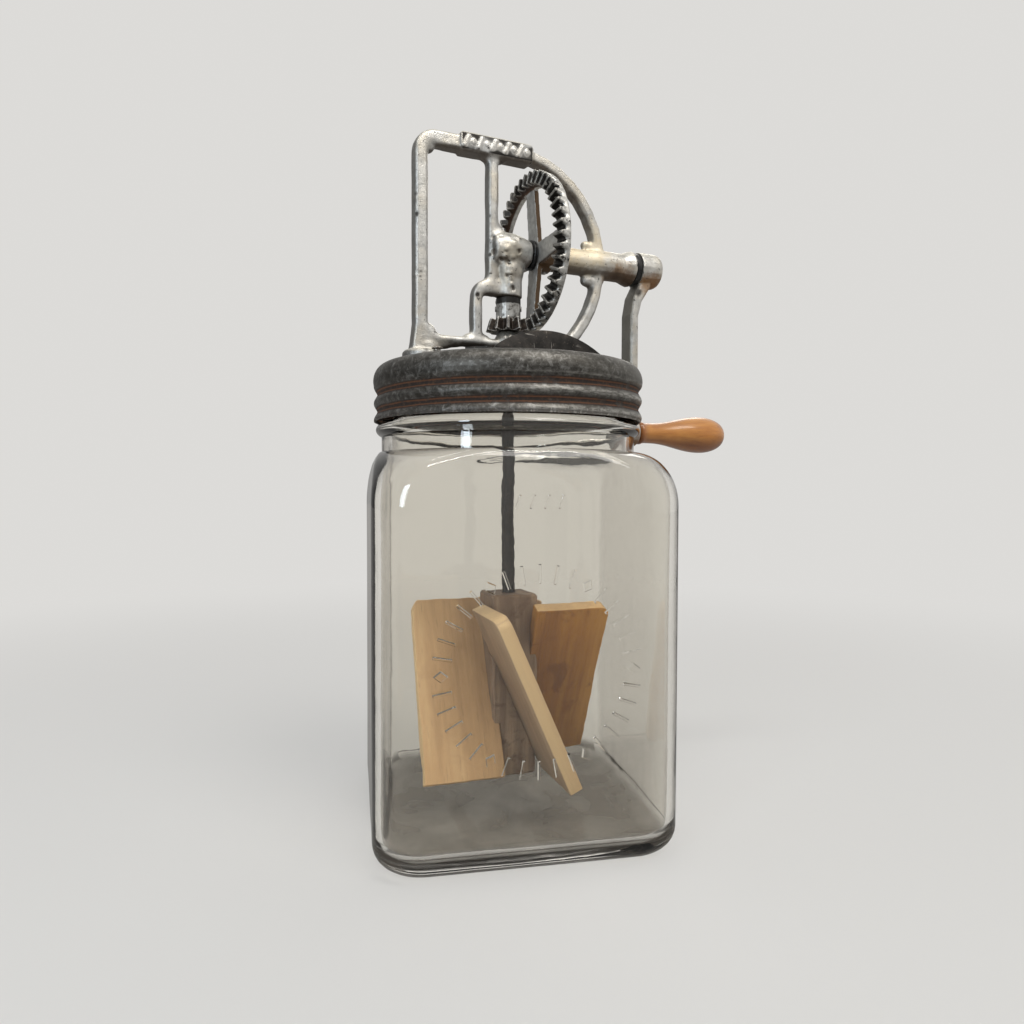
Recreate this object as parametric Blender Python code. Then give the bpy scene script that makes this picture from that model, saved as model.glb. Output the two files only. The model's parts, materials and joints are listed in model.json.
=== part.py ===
"""Hand cranked glass butter churn, built as an assembly of separate solids.

Metres, +Z up. The origin is the centre of the jar's flat base, on the axis of the dasher
shaft. +X runs along the crank axle towards the crank, and the cast frame stands in the XZ
plane. The square jar is turned a little about Z, as the cap stopped on its thread.
"""
import math

import bmesh
import bpy
from mathutils import Matrix, Vector

# Fits that the whole part shares
fit_gap = 0.0003
cut_over = 0.0020
weld = 0.000001

# Points round turned pieces and bores
round_sides = 20
bore_sides = 16
small_sides = 12
pin_sides = 8

# Glass jar
jar_half = 0.0665
jar_corner = 0.0200
jar_wall = 0.0040
jar_floor = 0.0070
jar_heel = 0.0115
jar_inner_heel = 0.0080
jar_body_height = 0.1510
jar_shoulder_rise = 0.0240
jar_neck_height = 0.0072
jar_bead_height = 0.0068
jar_bead_depth = 0.0029
jar_finish_height = 0.0233
jar_lip_round = 0.0008
mouth_radius = 0.0560
neck_wall = 0.0043
jar_turn = math.radians(-13)
jar_sides = 44
jar_steps = 4
corner_bias = 1.0
bead_shares = ((0, 0), (0.2, 0.75), (0.5, 1), (0.8, 0.75), (1, 0))
finish_inset_share = 1 / 6

# Rubber ring
gasket_height = 0.0016
gasket_inset = 0.0005
gasket_overhang = 0.0012
gasket_sides = 28

# Screw cap, pressed from sheet
lid_sheet = 0.0010
lid_skirt = 0.0262
lid_thread_room = 0.0014
lid_thread_depth = 0.0017
lid_thread_pitch = 0.0079
lid_curl = 0.0046
lid_rim_proud = 0.0003
lid_rim_height = 0.0075
lid_rim_width = 0.0056
lid_curl_shares = ((0, 0.4), (0.25, 0.8), (0.6, 0.6))
lid_shoulder_shares = (0.75, 0.4)
lid_rim_steps = 3
lid_sides = 40

# Vent holes under the shutter's wings
vent_radius = 0.0020
vent_circle = 0.0405
vent_count = 3
vent_spread = math.radians(8)
vent_offset = math.radians(35)

# Shaft bush, spun into the cap
bush_wall = 0.0023
bush_flange = 0.0026
bush_flange_height = 0.0012

# Vent shutter
shutter_sheet = 0.0011
shutter_clearance = 0.0015
shutter_wing = 0.0475
shutter_half_angle = math.radians(52)
shutter_chord = 0.0378
shutter_lean = math.radians(6)
shutter_rest = math.radians(5)

# Shaft, axle and spindle
shaft_radius = 0.0031
axle_radius = 0.0032
spindle_radius = 0.0022
pin_radius = 0.0013
pin_proud = 0.0004
shaft_embed = 0.0780
shaft_top_embed = 0.0120
axle_embed = 0.0140

# Bevel gear pair, sharing one cone apex where axle and shaft axes cross
gear_teeth = 44
pinion_teeth = 11
gear_pitch_radius = 0.0382
tooth_face = 0.0064
tooth_add_share = 0.80
tooth_ded_share = 1.10
tooth_slack_share = 0.30
pressure_angle = math.radians(20)
gear_rim = 0.0024
gear_hub_radius = 0.0078
gear_hub_length = 0.0088
spoke_width = 0.0100
spoke_height = 0.0029
spoke_root_share = 0.7
spoke_half_shares = (0.52, 0.44)
spoke_draft_share = 0.85
spoke_dish_shares = (0.1, 0.9)
pinion_neck_radius = 0.0060
pinion_neck_height = 0.0098
pinion_pin_turn = math.radians(65)

# Cast frame
bar_depth = 0.0075
bar_chamfer = 0.0012
left_bar_x = -0.04445
left_bar_width = 0.0065
bar_root_share = 1.5
top_bar_height = 0.0072
top_corner_radius = 0.0100
arc_width = 0.0055
arc_centre_x = 0.0020
low_arc_radius = 0.0600
arc_start_share = 0.1
arc_start = math.radians(80)
pad_length = 0.0370
pad_centre_x = -0.0075
pad_proud = 0.0010
middle_bar_x = -0.00885
middle_bar_width = 0.0055
s_leg_x = -0.0169
s_leg_width = 0.0052
s_turn_radius = 0.0063
s_arm_height = 0.0078
s_root_share = 1.3
bridge_lift = 0.0098
bridge_height = 0.0038
bridge_fillet = 0.0045
bridge_fillet_shares = ((0, 1, 1), (0.2, 0.85, 0.88), (0.6, 0.3, 0.35), (1.3, 0, 0))
bridge_swell_share = 1.1
step_height = 0.0039
step_radius = 0.0050
step_flare = 0.0022
foot_x = -0.0430
right_foot_x = 0.0420
foot_radius = 0.0095
foot_height = 0.0056
foot_chamfer = 0.0014
gear_room = 0.0044
shaft_boss_radius = 0.0066
axle_boss_radius = 0.0090
axle_boss_nose = 0.0064
axle_boss_left = -0.0095
axle_boss_right = 0.0104
tube_gap = 0.0008
tube_radius = 0.0064
tube_bulge = 0.0008
tube_flare = 0.0025
tube_flare_length = 0.0060
oil_hole_radius = 0.0012
oil_hole_x = 0.0465

# Rivets that hold the frame's feet to the cap
rivet_radius = 0.0015
rivet_head = 0.0026
rivet_head_height = 0.0012
dome_flat_share = 0.75
dome_side_share = 0.5
rivet_shift_x = 0.0050
rivet_shift_y = -0.0060

# Washers on the axle
inner_washer_radius = 0.0072
inner_washer_length = 0.0019
outer_washer_radius = 0.0082
outer_washer_length = 0.0027

# Crank
arm_clearance = 0.0025
arm_thickness = 0.0051
arm_width = 0.0102
crank_radius = 0.0840
crank_hub_radius = 0.0089
crank_hub_length = 0.0130
crank_end_radius = 0.0074
crank_hub_round = 0.0028
crank_pin_share = 0.4
crank_round_share = 0.3
crank_path_shares = ((1, 0.3, 1.5), (1, 0.9, 1.35), (0.3, 1.75, 1.15), (0, 2.7, 1), (0, 4.5, 1))

# Wooden grip, turned
grip_length = 0.0545
grip_neck = 0.0056
grip_belly = 0.00965
grip_belly_share = 0.74
grip_swell_share = 0.16
grip_edge_share = 0.1
grip_steps = 5
grip_tip = 0.0034
grip_washer_radius = 0.0048
grip_washer_height = 0.0008
grip_head_radius = 0.0030
grip_head_height = 0.0010

# Wooden dasher
dasher_low = 0.0230
paddle_rise = 0.0810
paddle_pitch = math.radians(24)
paddle_thickness = 0.0065
paddle_corner = 0.0050
paddle_edge = 0.0006
paddle_first = math.radians(-6)
dasher_clearance = 0.0110
hub_side = 0.0220
hub_top_rise = 0.0040
hub_low_inset = 0.0010
hub_chamfer = 0.0010
kerf_depth = 0.0035
hub_pin_drop = 0.0085

# Levels and radii that follow from the sizes above
neck_radius = mouth_radius + neck_wall
finish_radius = neck_radius - jar_bead_depth * finish_inset_share
neck_low = jar_body_height + jar_shoulder_rise
bead_low = neck_low + jar_neck_height
bead_top = bead_low + jar_bead_height
jar_top = bead_top + jar_finish_height
lid_under = jar_top + gasket_height + 2 * fit_gap
lid_top = lid_under + lid_sheet
lid_low = lid_top - lid_skirt
groove_radius = finish_radius + lid_thread_room + lid_sheet
lid_radius = groove_radius + lid_thread_depth + lid_rim_proud
foot_low = lid_top + fit_gap
foot_top = foot_low + foot_height
bridge_low = lid_top + bridge_lift
bridge_top = bridge_low + bridge_height
step_top = bridge_top + step_height
axle_z = step_top + fit_gap + gear_pitch_radius
gear_angle = math.atan(gear_teeth / pinion_teeth)
pinion_angle = math.pi / 2 - gear_angle
cone_length = gear_pitch_radius / math.sin(gear_angle)
module = 2 * gear_pitch_radius / gear_teeth
gear_tip_radius = gear_pitch_radius + module * tooth_add_share * math.cos(gear_angle)
window_top = axle_z + gear_tip_radius + gear_room
frame_top = window_top + top_bar_height
arc_radius = frame_top - axle_z
frame_right = arc_centre_x + arc_radius
shaft_bore = shaft_radius + fit_gap
axle_bore = axle_radius + fit_gap
arm_left = lid_radius + arm_clearance
arm_right = arm_left + arm_thickness
tube_right = arm_right - outer_washer_length - 2 * fit_gap
outer_washer_left = tube_right + fit_gap
crank_hub_left = outer_washer_left + outer_washer_length + fit_gap
inner_washer_left = axle_boss_right + fit_gap
gear_hub_left = inner_washer_left + inner_washer_length + fit_gap
gear_hub_right = gear_hub_left + gear_hub_length
tube_left = gear_hub_right + tube_gap
grip_z = axle_z - crank_radius
pinion_low = axle_z - gear_pitch_radius
pinion_teeth_top = axle_z - (cone_length - tooth_face) * math.cos(pinion_angle)
pinion_top = pinion_teeth_top + pinion_neck_height
boss_low = pinion_top + fit_gap
shaft_top = boss_low + shaft_top_embed
shutter_disc = right_foot_x - foot_radius - shutter_clearance
shutter_low = lid_top + fit_gap + bush_flange_height + fit_gap
shutter_top = shutter_low + shutter_sheet
bush_radius = shaft_bore + bush_wall
paddle_reach = mouth_radius - dasher_clearance
paddle_root = hub_side / 2 - kerf_depth
paddle_top = dasher_low + paddle_rise
hub_top = paddle_top + hub_top_rise
hub_low = dasher_low - hub_low_inset
hub_pin_turn = paddle_first + math.pi / 2


def clear_scene():
    """Remove every object that the file holds."""
    for old in list(bpy.data.objects):
        bpy.data.objects.remove(old, do_unlink=True)


def finish_material(name, colour, roughness, metallic):
    """One Principled material in the piece's own colour."""
    material = bpy.data.materials.new(name)
    material.use_nodes = True
    shader = material.node_tree.nodes["Principled BSDF"]
    shader.inputs["Base Color"].default_value = (*colour, 1)
    shader.inputs["Roughness"].default_value = roughness
    shader.inputs["Metallic"].default_value = metallic
    return material


def pivot(name, place, parent=None):
    """An empty on a joint's axis, which carries the moving pieces."""
    empty = bpy.data.objects.new(name, None)
    bpy.context.collection.objects.link(empty)
    empty.parent = parent
    empty.location = Vector(place) - (parent.matrix_world.translation if parent else Vector())
    bpy.context.view_layer.update()
    return empty


def solid(name, mesh_edit, finish=None, carrier=None):
    """Turn an edit mesh, given in world places, into a named object on its carrier."""
    bmesh.ops.remove_doubles(mesh_edit, verts=mesh_edit.verts, dist=weld)
    bmesh.ops.recalc_face_normals(mesh_edit, faces=mesh_edit.faces)
    origin = carrier.matrix_world.translation if carrier else Vector()
    bmesh.ops.translate(mesh_edit, verts=mesh_edit.verts, vec=-origin)
    mesh = bpy.data.meshes.new(name)
    mesh_edit.to_mesh(mesh)
    mesh_edit.free()
    piece = bpy.data.objects.new(name, mesh)
    bpy.context.collection.objects.link(piece)
    piece.parent = carrier
    if finish:
        mesh.materials.append(finish_material(name, *finish))
    mesh.shade_smooth()
    mesh.set_sharp_from_angle(angle=math.radians(35))
    bpy.context.view_layer.update()
    return piece


def guide(name, mesh_edit):
    """A cutting or joining shape, which isn't a piece of its own."""
    shape = solid(name, mesh_edit)
    shape.hide_render = True
    shape.display_type = "WIRE"
    return shape


def combine(piece, shape, operation):
    """Cut a guide shape from a piece, or join it on."""
    step = piece.modifiers.new(shape.name, "BOOLEAN")
    step.operation = operation
    step.solver = "EXACT"
    step.object = shape


def soften(piece, width):
    """Break the sharp edges of a wooden or cast piece."""
    edge = piece.modifiers.new("soft_edges", "BEVEL")
    edge.width = width
    edge.segments = 1
    edge.limit_method = "ANGLE"
    edge.angle_limit = math.radians(40)


def turned(profile, sides, ring=False, axis="Z", place=(0, 0, 0), yaw=0.0):
    """Spin a profile of (radius, height) about an axis through a place."""
    edit = bmesh.new()
    verts = [edit.verts.new((radius, 0, height)) for radius, height in profile]
    pairs = list(zip(verts, verts[1:]))
    if ring:
        pairs.append((verts[-1], verts[0]))
    edges = [edit.edges.new(pair) for pair in pairs]
    bmesh.ops.spin(edit, geom=verts + edges, cent=(0, 0, 0), axis=(0, 0, 1), dvec=(0, 0, 0),
                   angle=2 * math.pi, steps=sides, use_merge=True, use_duplicate=False)
    bmesh.ops.remove_doubles(edit, verts=edit.verts, dist=weld)
    bmesh.ops.dissolve_degenerate(edit, edges=edit.edges, dist=weld)
    turn = Matrix.Identity(4)
    if axis == "X":
        turn = Matrix.Rotation(math.pi / 2, 4, "Y")
    if axis == "Y":
        turn = Matrix.Rotation(-math.pi / 2, 4, "X")
    turn = Matrix.Translation(place) @ Matrix.Rotation(yaw, 4, "Z") @ turn
    bmesh.ops.transform(edit, matrix=turn, verts=edit.verts)
    return edit


def rod(radius, low, high, sides, axis="Z", place=(0, 0, 0), chamfer=0.0, yaw=0.0):
    """A closed round bar between two heights along its axis."""
    profile = [(0, low), (radius - chamfer, low), (radius, low + chamfer),
               (radius, high - chamfer), (radius - chamfer, high), (0, high)]
    return turned(profile, sides, axis=axis, place=place, yaw=yaw)


def ring_bar(inner, outer, low, high, sides, axis="Z", place=(0, 0, 0)):
    """A washer or bush between two radii."""
    profile = [(inner, low), (outer, low), (outer, high), (inner, high)]
    return turned(profile, sides, ring=True, axis=axis, place=place)


def loft(rings, capped=True):
    """Join rings of equal point count into a skin, closed at both ends."""
    edit = bmesh.new()
    rows = [[edit.verts.new(point) for point in ring] for ring in rings]
    for low, high in zip(rows, rows[1:]):
        for at in range(len(low)):
            edit.faces.new((low[at], low[at - 1], high[at - 1], high[at]))
    if capped:
        edit.faces.new(rows[0])
        edit.faces.new(reversed(rows[-1]))
    return edit


def arc(centre, radius, start, end, steps):
    """Points along an arc, as (first, second) pairs."""
    out = []
    for step in range(steps + 1):
        angle = start + (end - start) * step / steps
        out.append((centre[0] + radius * math.cos(angle), centre[1] + radius * math.sin(angle)))
    return out


def cast_bar(path, depth, chamfer):
    """A bar with chamfered edges along a path of (x, z, width) in the frame's plane."""
    rings = []
    for at, (x, z, width) in enumerate(path):
        before = path[max(at - 1, 0)]
        after = path[min(at + 1, len(path) - 1)]
        along = Vector((after[0] - before[0], 0, after[1] - before[1])).normalized()
        across = Vector((-along.z, 0, along.x))
        half, deep = width / 2, depth / 2
        section = [(half, chamfer - deep), (half, deep - chamfer), (half - chamfer, deep),
                   (chamfer - half, deep), (-half, deep - chamfer), (-half, chamfer - deep),
                   (chamfer - half, -deep), (half - chamfer, -deep)]
        middle = Vector((x, 0, z))
        rings.append([middle + across * s + Vector((0, t, 0)) for s, t in section])
    return loft(rings)


def prism(outline, low, high):
    """Extrude an outline of (x, y) points between two heights."""
    return loft([[(x, y, low) for x, y in outline], [(x, y, high) for x, y in outline]])


def offset_profile(profile, wall):
    """The same profile moved inward, to its right hand side, by the sheet's thickness."""
    out = []
    for at, (radius, height) in enumerate(profile):
        before = Vector(profile[max(at - 1, 0)])
        after = Vector(profile[min(at + 1, len(profile) - 1)])
        along = (after - before).normalized()
        out.append((radius - along.y * wall, height + along.x * wall))
    return out


def rounded_square_ring(half, corner, height, sides):
    """Points of a rounded square, closer together at its corners, so that rings line up."""
    corner = min(corner, half)
    inset = half - corner
    ring = []
    for at in range(sides):
        even = 2 * math.pi * (at + 0.5) / sides
        angle = even + corner_bias * (1 - corner / half) * math.sin(4 * even) / 4
        away = Vector((math.cos(angle), math.sin(angle)))
        flat = half / max(abs(away.x), abs(away.y))
        hit = away * flat
        if min(abs(hit.x), abs(hit.y)) > inset:
            middle = Vector((math.copysign(inset, away.x), math.copysign(inset, away.y)))
            lean = middle.dot(away)
            hit = away * (lean + math.sqrt(max(lean ** 2 - middle.length_squared + corner ** 2, 0)))
        hit = Matrix.Rotation(jar_turn, 2) @ hit
        ring.append((hit.x, hit.y, height))
    return ring


def jar_skin(half, corner, heel, floor, mouth):
    """Rings of one skin of the jar, from its floor up to the root of the neck."""
    rings = []
    for step in range(jar_steps + 1):
        angle = math.pi / 2 * step / jar_steps
        inset = heel * (1 - math.sin(angle))
        rings.append(rounded_square_ring(half - inset, corner - inset * corner / (corner + heel),
                                         floor + heel * (1 - math.cos(angle)), jar_sides))
    for step in range(jar_steps + 2):
        angle = math.pi / 2 * step / (jar_steps + 1)
        drawn = 1 - math.cos(angle)
        rings.append(rounded_square_ring(half + (mouth - half) * drawn,
                                         corner + (mouth - corner) * drawn,
                                         jar_body_height + jar_shoulder_rise * math.sin(angle),
                                         jar_sides))
    return rings


def round_ring(radius, height):
    """A round ring that lines up with the jar's square ones."""
    return rounded_square_ring(radius, radius, height, jar_sides)


def build_jar():
    """Square glass jar with a rounded heel, drawn-in shoulder, bead and plain finish."""
    rings = jar_skin(jar_half, jar_corner, jar_heel, 0, neck_radius)
    for share, swell in bead_shares:
        rings.append(round_ring(finish_radius + (neck_radius - finish_radius) * (1 - share)
                                + jar_bead_depth * swell, bead_low + jar_bead_height * share))
    rings.append(round_ring(finish_radius, jar_top - jar_lip_round))
    rings.append(round_ring(finish_radius - jar_lip_round, jar_top))
    rings.append(round_ring(mouth_radius + jar_lip_round, jar_top))
    rings.append(round_ring(mouth_radius, jar_top - jar_lip_round))
    inner = jar_skin(jar_half - jar_wall, jar_corner - jar_wall, jar_inner_heel, jar_floor,
                     mouth_radius)
    rings.extend(reversed(inner))
    return solid("jar", loft(rings), ((0.62, 0.60, 0.55), 0.05, 0.0))


def build_gasket(carrier):
    """Rubber ring between the jar's lip and the inside of the cap."""
    edit = ring_bar(mouth_radius - gasket_inset, finish_radius - gasket_overhang,
                    jar_top + fit_gap, jar_top + fit_gap + gasket_height, gasket_sides)
    return solid("gasket", edit, ((0.35, 0.09, 0.06), 0.8, 0.0), carrier)


def lid_profile():
    """Outer skin of the cap, from its curled lower edge up to the bush hole."""
    low_groove = lid_low + lid_curl
    profile = [(groove_radius + lid_thread_depth * swell, lid_low + lid_curl * share)
               for share, swell in lid_curl_shares]
    for step in range(7):
        swell = (1 - math.cos(math.pi * step / 3)) / 2
        height = low_groove + lid_thread_pitch * step / 6
        profile.append((groove_radius + lid_thread_depth * swell, height))
    rim_low = low_groove + lid_thread_pitch
    rim_start = lid_top - lid_rim_height
    out_share, up_share = lid_shoulder_shares
    profile.append((groove_radius + (lid_radius - groove_radius) * out_share,
                    rim_low + (rim_start - rim_low) * up_share))
    for step in range(lid_rim_steps + 1):
        angle = math.pi / 2 * step / lid_rim_steps
        profile.append((lid_radius - lid_rim_width * (1 - math.cos(angle)),
                        rim_start + lid_rim_height * math.sin(angle)))
    profile.append((bush_radius + fit_gap, lid_top))
    return profile


def vent_places():
    """Centres of the vent holes, in four groups under the shutter's two wings."""
    places = []
    for middle in (-math.pi / 2, math.pi / 2):
        for side in (-1, 1):
            for at in range(vent_count):
                angle = middle + side * vent_offset + (at - (vent_count - 1) / 2) * vent_spread
                places.append((vent_circle * math.cos(angle), vent_circle * math.sin(angle)))
    return places


def rivet_places():
    """Centres of the two rivets, one in front of each foot's bar."""
    return [("left", foot_x + rivet_shift_x, rivet_shift_y),
            ("right", right_foot_x - rivet_shift_x, rivet_shift_y)]


def build_lid(carrier):
    """Pressed screw cap with two rolled thread beads, vent holes and rivet holes."""
    outer = lid_profile()
    inner = offset_profile(outer, lid_sheet)
    inner[-1] = (outer[-1][0], lid_under)
    inner[0] = (outer[0][0] - lid_sheet, lid_low)
    edit = turned(outer + inner[::-1], lid_sides, ring=True)
    lid = solid("lid_cap", edit, ((0.20, 0.19, 0.18), 0.45, 0.9), carrier)
    low, high = lid_under - cut_over, lid_top + cut_over
    cuts = bmesh.new()
    holes = [(x, y, vent_radius) for x, y in vent_places()]
    holes += [(x, y, rivet_radius + fit_gap) for side, x, y in rivet_places()]
    for x, y, radius in holes:
        bmesh.ops.create_cone(cuts, cap_ends=True, segments=pin_sides, radius1=radius,
                              radius2=radius, depth=high - low,
                              matrix=Matrix.Translation((x, y, (low + high) / 2)))
    combine(lid, guide("lid_hole_cutter", cuts), "DIFFERENCE")
    return lid


def build_bush(carrier):
    """Bush round the shaft: three flanges trap the cap's sheet and the shutter."""
    wide = bush_radius + bush_flange
    bottom = lid_under - fit_gap
    head_low = shutter_top + fit_gap
    profile = [(shaft_bore, bottom - bush_flange_height), (wide, bottom - bush_flange_height),
               (wide, bottom), (bush_radius, bottom), (bush_radius, lid_top + fit_gap),
               (wide, lid_top + fit_gap), (wide, shutter_low - fit_gap),
               (bush_radius, shutter_low - fit_gap), (bush_radius, head_low), (wide, head_low),
               (wide, head_low + bush_flange_height), (shaft_bore, head_low + bush_flange_height)]
    return solid("shaft_bush", turned(profile, bore_sides, ring=True),
                 ((0.30, 0.25, 0.18), 0.5, 0.9), carrier)


def dome(radius, height, base, way):
    """Profile of a low domed head, from its tip to its rim, on the given side of its base."""
    tip = base + way * height
    return [(0, tip), (radius * dome_flat_share, tip),
            (radius, base + way * height * dome_side_share), (radius, base)]


def build_rivets(carrier):
    """One rivet through each foot, headed above the foot and below the cap."""
    for side, x, y in rivet_places():
        top = foot_top + fit_gap
        low = lid_under - fit_gap
        profile = dome(rivet_head, rivet_head_height, low, -1)
        profile += [(rivet_radius, low), (rivet_radius, top)]
        profile += reversed(dome(rivet_head, rivet_head_height, top, 1))
        edit = turned(profile, small_sides, place=(x, y, 0))
        solid("frame_rivet_" + side, edit, ((0.35, 0.33, 0.30), 0.5, 0.9), carrier)


def outer_loop_path():
    """Left bar, corner, top bar and the big arc down to the bridge, as one bar."""
    left_width, top_width = left_bar_width, top_bar_height
    outer_left = left_bar_x - left_width / 2
    path = [(left_bar_x, foot_top - fit_gap, left_width * bar_root_share),
            (left_bar_x, bridge_top + bridge_fillet, left_width)]
    corner = (outer_left + top_corner_radius, frame_top - top_corner_radius)
    bend = top_corner_radius - left_width / 2
    for x, z in arc(corner, bend, math.pi, math.pi / 2, 5):
        path.append((x, z, left_width))
    path[-1] = (corner[0], frame_top - top_width / 2, top_width)
    path.append((arc_centre_x - arc_radius * arc_start_share, frame_top - top_width / 2, top_width))
    upper = arc((arc_centre_x, axle_z), arc_radius - arc_width / 2, arc_start, 0, 8)
    lower_centre = (frame_right - low_arc_radius, axle_z)
    drop = math.asin(min((axle_z - bridge_top + bridge_height / 2) / low_arc_radius, 1))
    lower = arc(lower_centre, low_arc_radius - arc_width / 2, 0, -drop, 6)
    for x, z in upper + lower[1:]:
        path.append((x, z, arc_width))
    return path


def s_leg_path():
    """The leg that rises beside the pinion and turns in to the shaft boss."""
    arm_z = boss_low + fit_gap + s_arm_height / 2
    turn = (s_leg_x + s_turn_radius, arm_z - s_turn_radius)
    path = [(s_leg_x, bridge_top - bridge_height / 2, s_leg_width * s_root_share),
            (s_leg_x, bridge_top + s_leg_width / 2, s_leg_width)]
    points = arc(turn, s_turn_radius, math.pi, math.pi / 2, 5)
    for at, (x, z) in enumerate(points):
        path.append((x, z, s_leg_width + (s_arm_height - s_leg_width) * at / 5))
    path.append((0, arm_z, s_arm_height))
    return path


def bridge_path():
    """Low bar from foot to foot, with a fillet up to the left bar."""
    middle = (bridge_low + bridge_top) / 2
    left = left_bar_x + left_bar_width / 2
    path = [(left_bar_x, middle + bridge_fillet / 2, bridge_height + bridge_fillet)]
    for along, lift, more in bridge_fillet_shares:
        path.append((left + bridge_fillet * along, middle + bridge_fillet * lift / 2,
                     bridge_height + bridge_fillet * more))
    swollen = bridge_height * bridge_swell_share
    return path + [(s_leg_x, middle, bridge_height), (0, middle, swollen),
                   (right_foot_x - foot_radius, middle, swollen),
                   (right_foot_x, (foot_top + middle) / 2, middle - foot_top + bridge_height)]


def build_foot(x):
    """Round pad under one end of the bridge."""
    profile = [(0, foot_low), (foot_radius - foot_chamfer / 2, foot_low),
               (foot_radius, foot_low + foot_chamfer / 2), (foot_radius, foot_top - foot_chamfer),
               (foot_radius - foot_chamfer, foot_top), (0, foot_top)]
    return turned(profile, round_sides, place=(x, 0, 0))


def build_frame(carrier):
    """Cast frame: bars, arc, feet, bearing bosses and the axle tube, bored for the shafts."""
    frame = solid("frame", cast_bar(outer_loop_path(), bar_depth, bar_chamfer),
                  ((0.62, 0.61, 0.57), 0.4, 0.8), carrier)
    middle = [(middle_bar_x, boss_low + s_arm_height / 2, middle_bar_width),
              (middle_bar_x, window_top - middle_bar_width / 2, middle_bar_width),
              (middle_bar_x, window_top + top_bar_height / 2, middle_bar_width * bar_root_share)]
    pad_half = pad_length / 2
    pad_z = (window_top + frame_top + pad_proud) / 2
    pad = [(pad_centre_x - pad_half, pad_z, top_bar_height),
           (pad_centre_x - pad_half + pad_proud, pad_z, top_bar_height + 2 * pad_proud),
           (pad_centre_x + pad_half - pad_proud, pad_z, top_bar_height + 2 * pad_proud),
           (pad_centre_x + pad_half, pad_z, top_bar_height)]
    fuller = (axle_boss_radius + axle_boss_nose) / 2
    boss = [(0, axle_boss_left), (axle_boss_nose, axle_boss_left),
            (fuller, axle_boss_left + bar_chamfer), (axle_boss_radius, -shaft_boss_radius / 2),
            (axle_boss_radius, shaft_boss_radius / 4), (fuller, shaft_boss_radius),
            (axle_boss_nose, axle_boss_right), (0, axle_boss_right)]
    arc_side = frame_right - arc_width
    tube = [(0, tube_left), (tube_radius, tube_left), (tube_radius, arc_side - arc_width),
            (tube_radius + tube_bulge, arc_side),
            (tube_radius + tube_bulge, tube_right - tube_flare_length),
            (tube_radius + tube_flare, tube_right - bar_chamfer),
            (tube_radius + tube_flare, tube_right), (0, tube_right)]
    step = [(0, bridge_low - fit_gap), (step_radius + step_flare, bridge_low - fit_gap),
            (step_radius + step_flare, bridge_top), (step_radius, step_top), (0, step_top)]
    on_axle = (0, 0, axle_z)
    joined = {
        "middle_bar": cast_bar(middle, bar_depth - bar_chamfer / 2, bar_chamfer),
        "s_leg": cast_bar(s_leg_path(), bar_depth - bar_chamfer / 3, bar_chamfer),
        "bridge": cast_bar(bridge_path(), bar_depth + bar_chamfer / 3, bar_chamfer),
        "top_pad": cast_bar(pad, bar_depth + 2 * pad_proud, bar_chamfer),
        "axle_boss": turned(boss, round_sides, axis="X", place=on_axle),
        "shaft_boss": rod(shaft_boss_radius, boss_low, axle_z - axle_bore, round_sides),
        "axle_tube": turned(tube, round_sides, axis="X", place=on_axle),
        "step_boss": turned(step, round_sides),
        "left_foot": build_foot(foot_x),
        "right_foot": build_foot(right_foot_x),
    }
    for name, edit in joined.items():
        combine(frame, guide(name, edit), "UNION")
    blind = shaft_top + fit_gap
    cut = {
        "axle_boss_bore": rod(axle_bore, -axle_embed + axle_boss_right - fit_gap,
                              axle_boss_right + cut_over, bore_sides, "X", on_axle),
        "tube_bore": rod(axle_bore, tube_left - cut_over, tube_right + cut_over, bore_sides, "X",
                         on_axle),
        "shaft_bore": rod(shaft_bore, boss_low - cut_over, blind, bore_sides),
        "step_bore": rod(shaft_bore, bridge_low - cut_over, step_top + cut_over, bore_sides),
        "oil_bore": rod(oil_hole_radius, axle_z, axle_z + tube_radius + tube_flare + cut_over,
                        pin_sides, place=(oil_hole_x, 0, 0)),
    }
    for side, x, y in rivet_places():
        cut["foot_bore_" + side] = rod(rivet_radius + fit_gap, foot_low - cut_over,
                                       foot_top + cut_over, pin_sides, place=(x, y, 0))
    for name, edit in cut.items():
        combine(frame, guide(name, edit), "DIFFERENCE")
    return frame


def shutter_outline():
    """Disc with two straight sided wings, the front one cut straight at the fold."""
    points = []
    for middle in (-math.pi / 2, math.pi / 2):
        for step in range(13):
            angle = middle + shutter_half_angle * (step / 6 - 1)
            x, y = shutter_wing * math.cos(angle), shutter_wing * math.sin(angle)
            points.append((x, max(y, -shutter_chord)))
        for step in range(7):
            angle = middle + shutter_half_angle + (math.pi - 2 * shutter_half_angle) * step / 6
            points.append((shutter_disc * math.cos(angle), shutter_disc * math.sin(angle)))
    return points


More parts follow.
